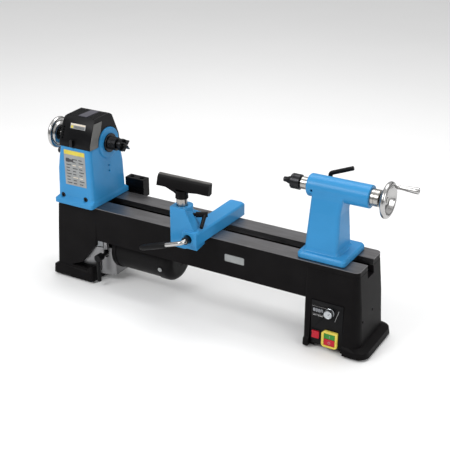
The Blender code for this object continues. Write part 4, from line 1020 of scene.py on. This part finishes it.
def make_banjo():
    low, top = BED_TOP + GAP, 0.237
    corners = (0.003, 0.003, 0.012, 0.006)
    banjo = stack("banjo_fine", [
        (low, (-0.020, 0.025), (-0.127, 0.093), corners),
        (top - 0.004, (-0.020, 0.025), (-0.127, 0.093), corners),
        (top, (-0.017, 0.022), (-0.127, 0.089), corners),
    ], "blue")
    for vertex in banjo.data.vertices:
        if vertex.co.x > 0.0:
            vertex.co.x -= 0.0065 * (0.093 - vertex.co.y) / 0.220
    left, right = POST_X - 0.0195, POST_X + 0.0225
    front, rear = POST_Y - 0.0235, POST_Y + 0.0235
    radii = (0.004, 0.003, 0.016, 0.016)
    boss = stack(
        "post_boss",
        [(0.1900, (left, right), (front, rear), radii), (BOSS_TOP, (left, right), (front, rear), radii)],
        "blue",
    )
    web = loft("post_web", [
        web_section(0.1925, 0.0165, -0.0750),
        web_section(0.2360, 0.0110, -0.0880),
        web_section(BOSS_TOP - 0.0005, right - 0.0010, -0.0930),
    ], "blue")
    gusset = loft("arm_gusset", [
        [(-0.058, -0.110, 0.234), (0.0105, -0.110, 0.234), (-0.018, -0.008, 0.234)],
        [(-0.054, -0.110, 0.276), (-0.0160, -0.110, 0.276), (-0.030, -0.082, 0.276)],
    ], "blue")
    unite(banjo, boss, web, gusset)
    post_bore = rod("post_bore", 0.0129, (POST_X, POST_Y, 0.180), 0.130, "+Z")
    cam_bore = rod("cam_bore", 0.0098, (BOLT_X, -0.150, CAM_Z), 0.234, "+Y")
    slot = box("arm_slot", (BOLT_X - 0.0095, -0.030, 0.190), (BOLT_X + 0.0095, 0.080, CAM_Z))
    lock_bore = rod("lock_bore", 0.0045, (POST_X, POST_Y, LOCK_Z), 0.070, "+X")
    lock_bore.rotation_euler = LOCK_TURN
    cut(banjo, post_bore, cam_bore, slot, lock_bore)
    repaint(banjo, "blue")
    cast(banjo, 0.0008, 5)
    fit(banjo, "banjo", "banjo_casting")


def make_cam_lever(prefix, body, plane, pivot_x, pivot_z, degrees, shaft_start, shaft_length):
    turn = math.radians(degrees)
    away = Vector((math.cos(turn), 0.0, math.sin(turn)))
    corner = Vector((pivot_x, plane, pivot_z))
    inside = Vector((pivot_x, plane * 0.90, pivot_z))
    path = [inside, *bend(inside, corner, corner + away * 0.060, 0.010), corner + away * 0.046]
    toward = "+Y" if plane < 0 else "-Y"
    start = (pivot_x, shaft_start, pivot_z)
    shaft = rod(prefix + "_lever_fine", 0.0060, start, shaft_length, toward, "chrome")
    handle = tube(prefix + "_handle", path, 0.0052, "chrome", 10)
    rim = [(0.0065, 0.0), (0.0082, 0.0), (0.0088, 0.0006), (0.0088, 0.0300), (0.0065, 0.0300)]
    collar = turned(prefix + "_collar", rim, start, toward, "black_steel", 64, ring=True)
    fit(collar, body, slot=prefix + "_cam_lever")
    unite(shaft, handle)
    repaint(shaft, "chrome")
    soften(shaft, 0.0006, 2, 50.0)
    fit(shaft, body, prefix + "_cam_lever")
    profile = [
        (0.0, 0.0), (0.0058, 0.0), (0.0064, 0.0008), (0.0072, 0.0040), (0.0074, 0.0220),
        (0.0073, 0.0400), (0.0068, 0.0640), (0.0060, 0.0705), (0.0044, 0.0745),
        (0.0022, 0.0758), (0.0, 0.0760),
    ]
    grip = turned(prefix + "_grip_fine", profile, (0, 0, 0), "+Z", "black_plastic", 48)
    grip.location = path[-1] + away * 0.0003
    grip.rotation_euler = away.to_track_quat("Z", "Y").to_euler()
    fit(grip, body, prefix + "_lever_grip")


def rest_finish():
    """Black enamel, with the bearing edge on top worn to bare iron."""
    skin = Surface("worn_rest_enamel", (0.0030, 0.0027, 0.0030), 0.40, sheen=0.08)
    wear = skin.step("Z", 0.3517, 0.0010)
    speck = skin.ramp(skin.noise(160.0, 4.0, (0.3, 1.0, 1.0)), (0.5, 0.5, 0.5), (1.0, 1.0, 1.0), 0.35, 0.55)
    amount = skin.mix(wear, (0.0, 0.0, 0.0), speck)
    tint = skin.ramp(skin.noise(24.0, 4.0), (0.0024, 0.0021, 0.0023), (0.0045, 0.0041, 0.0044))
    skin.link(skin.mix(amount, tint, (0.13, 0.125, 0.12)), skin.shader.inputs["Base Color"])
    skin.link(amount, skin.shader.inputs["Metallic"])
    skin.bump(skin.noise(600.0, 3.0), 0.15, 0.0003)
    return skin.material


LOOKS["rest"] = rest_finish()


def make_tool_rest():
    post = [(0.0, 0.0), (0.0118, 0.0), (0.0125, 0.0008), (0.0125, 0.0955), (0.0120, 0.0960), (0.0, 0.0960)]
    fit(turned("post_fine", post, (POST_X, POST_Y, 0.2080), "+Z", "post_steel", 64), "rest_post", "rest_post")
    rest = rod("rest_fine", 0.0150, (POST_X, POST_Y, 0.3045), 0.0185, "+Z", "rest", 0.0140)
    left, right = -0.097, 0.039
    web_outline = [
        (left, 0.3300), (POST_X - 0.0190, 0.3150), (POST_X - 0.0120, 0.3100),
        (POST_X + 0.0120, 0.3100), (POST_X + 0.0160, 0.3200), (right, 0.3270), (right, 0.3480),
        (left, 0.3480),
    ]
    web = plate("rest_web", web_outline, POST_Y - 0.0045, POST_Y + 0.0045, "Y", "rest")
    section = [
        (POST_Y - 0.0125, 0.3270), (POST_Y - 0.0045, 0.3240), (POST_Y + 0.0050, 0.3270),
        (POST_Y + 0.0075, 0.3480), (POST_Y + 0.0065, 0.3525), (POST_Y + 0.0030, 0.3535),
        (POST_Y - 0.0025, 0.3515), (POST_Y - 0.0070, 0.3450),
    ]
    blade = plate("rest_blade", section, left, right, "X", "rest")
    unite(rest, web, blade)
    repaint(rest, "rest")
    soften(rest, 0.0012, 3, 25.0)
    fit(rest, "tool_rest", "tool_rest")


def make_post_lock():
    hub = rod("post_lock_fine", 0.0066, (0, 0, 0.0310), 0.0270, "+Z", "black_plastic")
    screw = rod("lock_screw", 0.0040, (0, 0, 0.0140), 0.0200, "+Z", "black_plastic")
    arm = rod("lock_handle", 0.0050, (0, 0, 0), 0.0400, "+Z", "black_plastic", 0.0042)
    for piece in (hub, screw):
        piece.data.transform(Matrix.Translation(piece.location))
        piece.location = (POST_X, POST_Y, LOCK_Z)
        piece.rotation_euler = LOCK_TURN
    outward = Matrix.Rotation(LOCK_ANGLE, 3, "Z") @ Vector((0.0520, 0.0, 0.0))
    elbow = Vector((POST_X, POST_Y, LOCK_Z)) + outward
    tip = Vector((0.0165, -0.0990, 0.2465))
    arm.location = elbow
    arm.rotation_euler = (tip - elbow).to_track_quat("Z", "Y").to_euler()
    unite(hub, arm, screw)
    soften(hub, 0.0010, 3, 50.0)
    fit(hub, "post_lock", "post_lock_lever")


# Tailstock


def make_tailstock():
    low = BED_TOP + GAP
    base = (0.2335, 0.349)
    radii = (0.012, 0.008, 0.008, 0.012)
    tail = stack("tailstock_fine", [
        (low, base, (-0.058, 0.058), radii),
        (0.216, base, (-0.058, 0.058), radii),
        (0.221, (0.2370, 0.346), (-0.055, 0.055), radii),
    ], "blue")
    column = stack("tail_column", [
        (0.214, (0.2395, 0.331), (-0.050, 0.044), 0.010),
        (0.228, (0.2450, 0.3240), (-0.044, 0.036), 0.009),
        (0.310, (0.2475, 0.3200), (-0.032, 0.0285), 0.008),
        (0.340, (0.2485, 0.3225), (-0.0262, 0.0256), 0.006),
        (SPINDLE_Z, (0.2455, 0.3300), (-0.0252, 0.0252), 0.004),
    ], "blue")
    barrel = rod("tail_barrel", 0.0255, (0.2365, 0, SPINDLE_Z), 0.1420, "+X", "blue", segments=96)
    lip = rod("barrel_lip", 0.0225, (0.2335, 0, SPINDLE_Z), 0.0031, "+X", "blue", 0.0255, segments=96)
    unite(tail, column, barrel, lip)
    quill_bore = rod("quill_bore", 0.0144, (0.200, 0, SPINDLE_Z), 0.160, "+X")
    screw_bore = rod("screw_bore", 0.0080, (0.340, 0, SPINDLE_Z), 0.060, "+X")
    shaft_bore = rod("tail_cam_bore", 0.0098, (TAIL_SHAFT_X, -0.030, CAM_Z), 0.120, "+Y")
    well = box("bolt_well", (TAIL_SHAFT_X - 0.0095, -0.012, 0.190), (TAIL_SHAFT_X + 0.0095, 0.012, CAM_Z))
    key_bore = rod("key_bore", 0.0029, (0.2485, -0.060, SPINDLE_Z - 0.004), 0.050, "+Y")
    cut(tail, quill_bore, screw_bore, shaft_bore, well, key_bore)
    repaint(tail, "blue")
    cast(tail, 0.0009, 5)
    fit(tail, "tailstock", "tailstock_casting")


def make_quill():
    profile = [
        (0.0086, 0.0), (0.0130, 0.0), (0.0140, 0.0010), (0.0140, 0.1235), (0.0062, 0.1235),
        (0.0062, 0.0560), (0.0078, 0.0540),
    ]
    quill = turned("quill_fine", profile, (0.2155, 0, SPINDLE_Z), "+X", "steel", 72, ring=True)
    fit(quill, "quill", "tail_quill")
    sleeve_profile = [
        (0.0180, 0.0), (0.0188, 0.0006), (0.0188, 0.0075), (0.0182, 0.0080), (0.0182, 0.0092),
        (0.0188, 0.0098), (0.0188, 0.0180), (0.0178, 0.0190), (0.0074, 0.0190), (0.0074, 0.0),
    ]
    sleeve = turned("sleeve_fine", sleeve_profile, (0.3788, 0, SPINDLE_Z), "+X", "steel", 72, ring=True)
    fit(sleeve, "tailstock", "tail_bearing_sleeve")
    body = [
        (0.0, 0.0), (0.0070, 0.0), (0.0080, 0.0470), (0.0125, 0.0473), (0.0125, 0.0488),
        (0.0165, 0.0496), (0.0172, 0.0506), (0.0172, 0.0620), (0.0166, 0.0626),
        (0.0166, 0.0640), (0.0172, 0.0646), (0.0172, 0.0700), (0.0162, 0.0715),
        (0.0106, 0.0715), (0.0106, 0.0600), (0.0, 0.0600),
    ]
    centre = turned("centre_body_fine", body, (0.2625, 0, SPINDLE_Z), "-X", "black_steel", 72)
    fit(centre, "quill", "live_centre_body")
    point = [
        (0.0, 0.0), (0.0100, 0.0), (0.0100, 0.0140), (0.0097, 0.0150), (0.0060, 0.0250),
        (0.0058, 0.0310), (0.0, 0.0335),
    ]
    tip = turned("centre_point_fine", point, (0.2022, 0, SPINDLE_Z), "-X", "black_steel", 64)
    fit(tip, "live_centre", "live_centre_point")


def make_tail_wheel():
    wheel = handwheel("tail_wheel_fine", 0.3985, "+X", 0.0063, 0.0165)
    fit(wheel, "tail_wheel", "tail_handwheel")
    screw = [
        (0.0, 0.0), (0.0055, 0.0), (0.0055, 0.1080), (0.0070, 0.1090), (0.0070, 0.1190),
        (0.0060, 0.1195), (0.0060, 0.1370), (0.0054, 0.1375), (0.0, 0.1375),
    ]
    leadscrew = turned("leadscrew_fine", screw, (0.2760, 0, SPINDLE_Z), "+X", "steel", 48)
    fit(leadscrew, "tail_wheel", "tail_leadscrew")
    turn = math.radians(40)
    away = 0.0405 - 0.0058
    y, z = away * math.cos(turn), SPINDLE_Z + away * math.sin(turn)
    pin = [(0.0, 0.0), (0.0026, 0.0), (0.0026, 0.0590), (0.0021, 0.0595), (0.0, 0.0595)]
    fit(turned("crank_pin_fine", pin, (0.4085, y, z), "+X", "steel", 40), "tail_wheel", "crank_pin")
    handle = [
        (0.0029, 0.0), (0.0042, 0.0), (0.0048, 0.0008), (0.0046, 0.0060), (0.0050, 0.0150),
        (0.0060, 0.0260), (0.0068, 0.0370), (0.0072, 0.0463), (0.0070, 0.0484),
        (0.0062, 0.0491), (0.0029, 0.0491),
    ]
    crank = turned("crank_fine", handle, (0.4215, y, z), "+X", "chrome", 64, ring=True)
    fit(crank, "crank_handle", "crank_handle")


def make_quill_lock():
    start = 0.0265
    hub = rod("quill_lock_fine", 0.0080, (0.264, start, SPINDLE_Z), 0.0170, "+Y", "black_plastic")
    screw = rod("quill_lock_screw", 0.0040, (0.264, 0.0150, SPINDLE_Z), 0.020, "+Y", "black_plastic")
    root = Vector((0.264, start + 0.0100, SPINDLE_Z))
    elbow = Vector((0.2650, start + 0.0120, SPINDLE_Z + 0.0190))
    tip = Vector((0.317, start + 0.0120, SPINDLE_Z + 0.0400))
    arm = tube("quill_lock_arm", [root, *bend(root, elbow, tip, 0.006), tip], 0.0050, "black_plastic")
    unite(hub, arm, screw)
    soften(hub, 0.0010, 3, 50.0)
    fit(hub, "quill_lock", "quill_lock_lever")


# Controls


SEGMENTS = (
    (0.0, 1.0, 0.92, 1.08), (0.0, 1.0, 0.42, 0.58), (0.0, 1.0, -0.08, 0.08),
    (-0.14, 0.14, 0.54, 0.96), (0.86, 1.14, 0.54, 0.96), (-0.14, 0.14, 0.04, 0.46),
    (0.86, 1.14, 0.04, 0.46),
)


def make_controls():
    left, right, top = 0.2822, 0.3588, 0.1210
    face = -0.0703
    panel = box("panel_fine", (left, face - 0.0022, 0.0125), (right, face, top), "black_plastic")
    soften(panel, 0.0006, 2)
    knob_x, knob_z = 0.3276, 0.0993
    shaft_hole = rod("knob_hole", 0.0036, (knob_x, -0.09, knob_z), 0.060, "+Y")
    display_hole = box("display_hole", (0.2860, -0.09, 0.0925), (0.3130, -0.05, 0.1035))
    switch_hole = box("switch_hole", (0.3160, -0.09, 0.0165), (0.3460, -0.05, 0.0485))
    rocker_hole = box("rocker_hole", (0.2860, -0.09, 0.0260), (0.3060, -0.05, 0.0480))
    cut(panel, shaft_hole, display_hole, switch_hole, rocker_hole)
    repaint(panel, "black_plastic")
    fit(panel, "bed", "control_panel")
    window = box("display_fine", (0.2863, face - 0.0030, 0.0928), (0.3127, face - 0.0003, 0.1032), "display")
    soften(window, 0.0004, 2)
    fit(window, "bed", "display_window")
    for index in range(4):
        make_digit(index, 0.2882 + index * 0.0061, 0.0947, face - 0.0031)
    front = face - 0.0023
    outlines = {
        "print_frame_top": rectangle(0.2850, 0.3215, 0.1062, 0.1066),
        "print_line": rectangle(0.2860, 0.3130, 0.0868, 0.0873),
        "print_dash_a": rectangle(0.2870, 0.2960, 0.0836, 0.0848),
        "print_dash_b": rectangle(0.2985, 0.3110, 0.0836, 0.0848),
        "print_slash": [(0.3395, 0.0795), (0.3403, 0.0795), (0.3492, 0.1080), (0.3484, 0.1080)],
    }
    for name, outline in outlines.items():
        flat_print(name, outline, front, 0.0002, "print_light", "control_panel")
    knob = [
        (0.0, 0.0), (0.0030, 0.0), (0.0030, 0.0100), (0.0100, 0.0101), (0.0105, 0.0106),
        (0.0105, 0.0118), (0.0098, 0.0124), (0.0092, 0.0224), (0.0085, 0.0234),
        (0.0072, 0.0236), (0.0068, 0.0232), (0.0, 0.0230),
    ]
    piece = turned("knob_fine", knob, (knob_x, -0.0630, knob_z), "-Y", "aluminium", 64)
    fit(piece, "speed_knob", "speed_knob")
    for index in range(20):
        turn = math.radians(index * 18)
        rib = rod(
            f"knob_rib_{index}",
            0.0006,
            (knob_x + 0.0094 * math.cos(turn), -0.0760, knob_z + 0.0094 * math.sin(turn)),
            0.0096,
            "-Y",
            "aluminium",
            segments=12,
        )
        fit(rib, "speed_knob", slot="speed_knob")
    pointer = plate(
        "knob_pointer",
        [(-0.0007, 0.0005), (0.0007, 0.0005), (0.0007, 0.0068), (-0.0007, 0.0068)],
        0.0,
        0.0006,
        "Y",
        "label_dark",
    )
    place = Matrix.Translation((knob_x, -0.0862, knob_z)) @ Matrix.Rotation(math.radians(55), 4, "Y")
    pointer.data.transform(place)
    fit(pointer, "speed_knob", slot="speed_knob")
    make_switch(face)


def make_digit(index, x, z, front):
    """One seven-segment digit. The last of the four leaves two of its segments dark."""
    for part, (u0, u1, v0, v1) in enumerate(SEGMENTS):
        if index == 3 and part in (1, 2):
            continue
        wide, tall = 0.0036, 0.0062
        outline = rectangle(x + u0 * wide, x + u1 * wide, z + v0 * tall, z + v1 * tall, 0.0002)
        flat_print(f"digit_{index}_{part}", outline, front, 0.0002, "digit", "display_window")


def make_switch(face):
    x0, x1, z0, z1 = 0.3115, 0.3500, 0.0135, 0.0540
    front = face - 0.0025
    outline = [
        (x0 + 0.004, z0), (x1 - 0.004, z0), (x1, z0 + 0.004), (x1, z1), (x0 + 0.007, z1),
        (x0, z1 - 0.007), (x0, z0 + 0.004),
    ]
    surround = plate("switch_frame_fine", outline, front - 0.0060, front, "Y", "yellow")
    soften(surround, 0.0012, 3)
    opening = box("switch_opening", (0.3178, -0.09, 0.0185), (0.3448, -0.05, 0.0485))
    cut(surround, opening)
    repaint(surround, "yellow")
    fit(surround, "bed", "switch_frame")
    buttons = (
        ("start_button", 0.0345, 0.0480, "green", 0.0050),
        ("stop_button", 0.0190, 0.0340, "red", 0.0065),
    )
    for name, low, high, look, proud in buttons:
        button = box(name + "_fine", (0.3182, front - proud, low), (0.3444, -0.0560, high), look)
        soften(button, 0.0010, 3)
        fit(button, name, name)
    bar = plate("start_mark", rectangle(0.3308, 0.3318, 0.0380, 0.0445), 0.0, 0.0002, "Y", "label_grey")
    bar.data.transform(Matrix.Translation((0, front - 0.0051, 0)))
    fit(bar, "start_button", slot="start_button")
    outer = circle(0.3313, 0.0265, 0.0030, 40)
    inner = circle(0.3313, 0.0265, 0.0021, 40)
    ring = plate("stop_mark", outer, 0.0, 0.0002, "Y", "label_grey", holes=(inner,))
    ring.data.transform(Matrix.Translation((0, front - 0.0066, 0)))
    fit(ring, "stop_button", slot="stop_button")
    rocker_low = face - 0.0025
    rim_low = (0.2848, rocker_low - 0.0015, 0.0245)
    rim_high = (0.3072, rocker_low, 0.0495)
    bezel = box("rocker_rim_fine", rim_low, rim_high, "black_plastic")
    soften(bezel, 0.0005, 2)
    hole = box("bezel_hole", (0.2866, -0.09, 0.0266), (0.3054, -0.05, 0.0474))
    cut(bezel, hole)
    repaint(bezel, "black_plastic")
    fit(bezel, "bed", "rocker_rim")
    rocker_outline = [
        (-0.0770, 0.0280), (-0.0755, 0.0370), (-0.0770, 0.0460), (-0.0640, 0.0440),
        (-0.0640, 0.0300),
    ]
    rocker = plate("rocker_fine", rocker_outline, 0.2870, 0.3050, "X", "red")
    soften(rocker, 0.0008, 3)
    fit(rocker, "power_rocker", "power_rocker")


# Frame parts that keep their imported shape


KEPT = {
    "spindle_pulley": "aluminium",
    "motor_pulley": "aluminium",
    "motor_shaft": "steel",
    "banjo_clamp_plate": "steel",
    "banjo_clamp_bolt": "steel",
    "tail_clamp_plate": "steel",
    "tail_clamp_bolt": "steel",
    "control_box": "black_plastic",
}


def dress_kept_parts():
    for name, look in KEPT.items():
        node = frame["nodes"][name]
        repaint(node, look)
        edges = node.modifiers.new("Edges", "BEVEL")
        edges.width = 0.0004
        edges.segments = 2
        edges.limit_method = "ANGLE"
        edges.angle_limit = math.radians(50)


# Stage


def area_light(name, place, target, size, power):
    data = bpy.data.lights.new(name, "AREA")
    data.shape = "RECTANGLE"
    data.size, data.size_y = size
    data.energy = power
    lamp = bpy.data.objects.new(name, data)
    lamp.location = place
    lamp.rotation_euler = (Vector(target) - Vector(place)).to_track_quat("-Z", "Y").to_euler()
    bpy.context.scene.collection.objects.link(lamp)


def make_stage():
    floor_look = Surface("pale_floor", (0.82, 0.82, 0.82), 0.55)
    floor_look.tone(floor_look.noise(1.5, 2.0), 0.01)
    shape = bmesh.new()
    bmesh.ops.create_grid(shape, x_segments=8, y_segments=8, size=8.0)
    mesh = bpy.data.meshes.new("floor")
    shape.to_mesh(mesh)
    shape.free()
    mesh.materials.append(floor_look.material)
    floor = bpy.data.objects.new("floor", mesh)
    bpy.context.scene.collection.objects.link(floor)
    make_world()
    middle = (0.0, 0.0, 0.2)
    area_light("key", (-1.3, -2.3, 2.3), middle, (1.6, 1.2), 58.0)
    area_light("fill", (2.4, -1.0, 1.3), middle, (1.2, 1.4), 20.0)
    area_light("top", (0.1, 0.7, 2.4), middle, (2.2, 1.2), 34.0)
    bpy.context.scene.view_settings.view_transform = "Standard"


def make_world():
    """White overhead, grey at the horizon, so that polished metal has something to show."""
    world = bpy.data.worlds.new("studio")
    world.use_nodes = True
    tree = world.node_tree
    place = tree.nodes.new("ShaderNodeTexCoord")
    split = tree.nodes.new("ShaderNodeSeparateXYZ")
    ramp = tree.nodes.new("ShaderNodeValToRGB")
    stops = ((0.0, 0.30), (0.18, 0.24), (0.45, 0.90), (1.0, 1.0))
    for index, (position, grey) in enumerate(stops):
        stop = ramp.color_ramp.elements[index] if index < 2 else ramp.color_ramp.elements.new(position)
        stop.position = position
        stop.color = (grey, grey, grey, 1.0)
    tree.links.new(place.outputs["Generated"], split.inputs["Vector"])
    tree.links.new(split.outputs["Z"], ramp.inputs["Fac"])
    tree.links.new(ramp.outputs["Color"], tree.nodes["Background"].inputs["Color"])
    tree.nodes["Background"].inputs["Strength"].default_value = 0.80
    bpy.context.scene.world = world


def make_camera():
    data = bpy.data.cameras.new("view")
    data.lens = 75.2
    data.sensor_width = 36.0
    data.clip_start = 0.05
    data.clip_end = 60.0
    camera = bpy.data.objects.new("view", data)
    camera.location = (1.0338, -1.7361, 1.1207)
    camera.rotation_euler = (math.radians(65.66), 0.0, math.radians(30.30))
    bpy.context.scene.collection.objects.link(camera)
    bpy.context.scene.camera = camera


make_bed()
make_feet()
make_badges()
make_headstock()
make_data_plate()
make_cover()
make_spindle()
make_index_pin()
make_tool_holder()
make_motor()
make_belt()
make_motor_plate()
make_banjo()
make_cam_lever("banjo", "banjo_lever", -0.150, BOLT_X, CAM_Z, 199.0, -0.140, 0.216)
make_tool_rest()
make_post_lock()
make_tailstock()
make_cam_lever("tail", "tail_lever", 0.150, TAIL_SHAFT_X, CAM_Z, 262.0, 0.140, 0.166)
make_quill()
make_tail_wheel()
make_quill_lock()
make_controls()
dress_kept_parts()
make_stage()
make_camera()
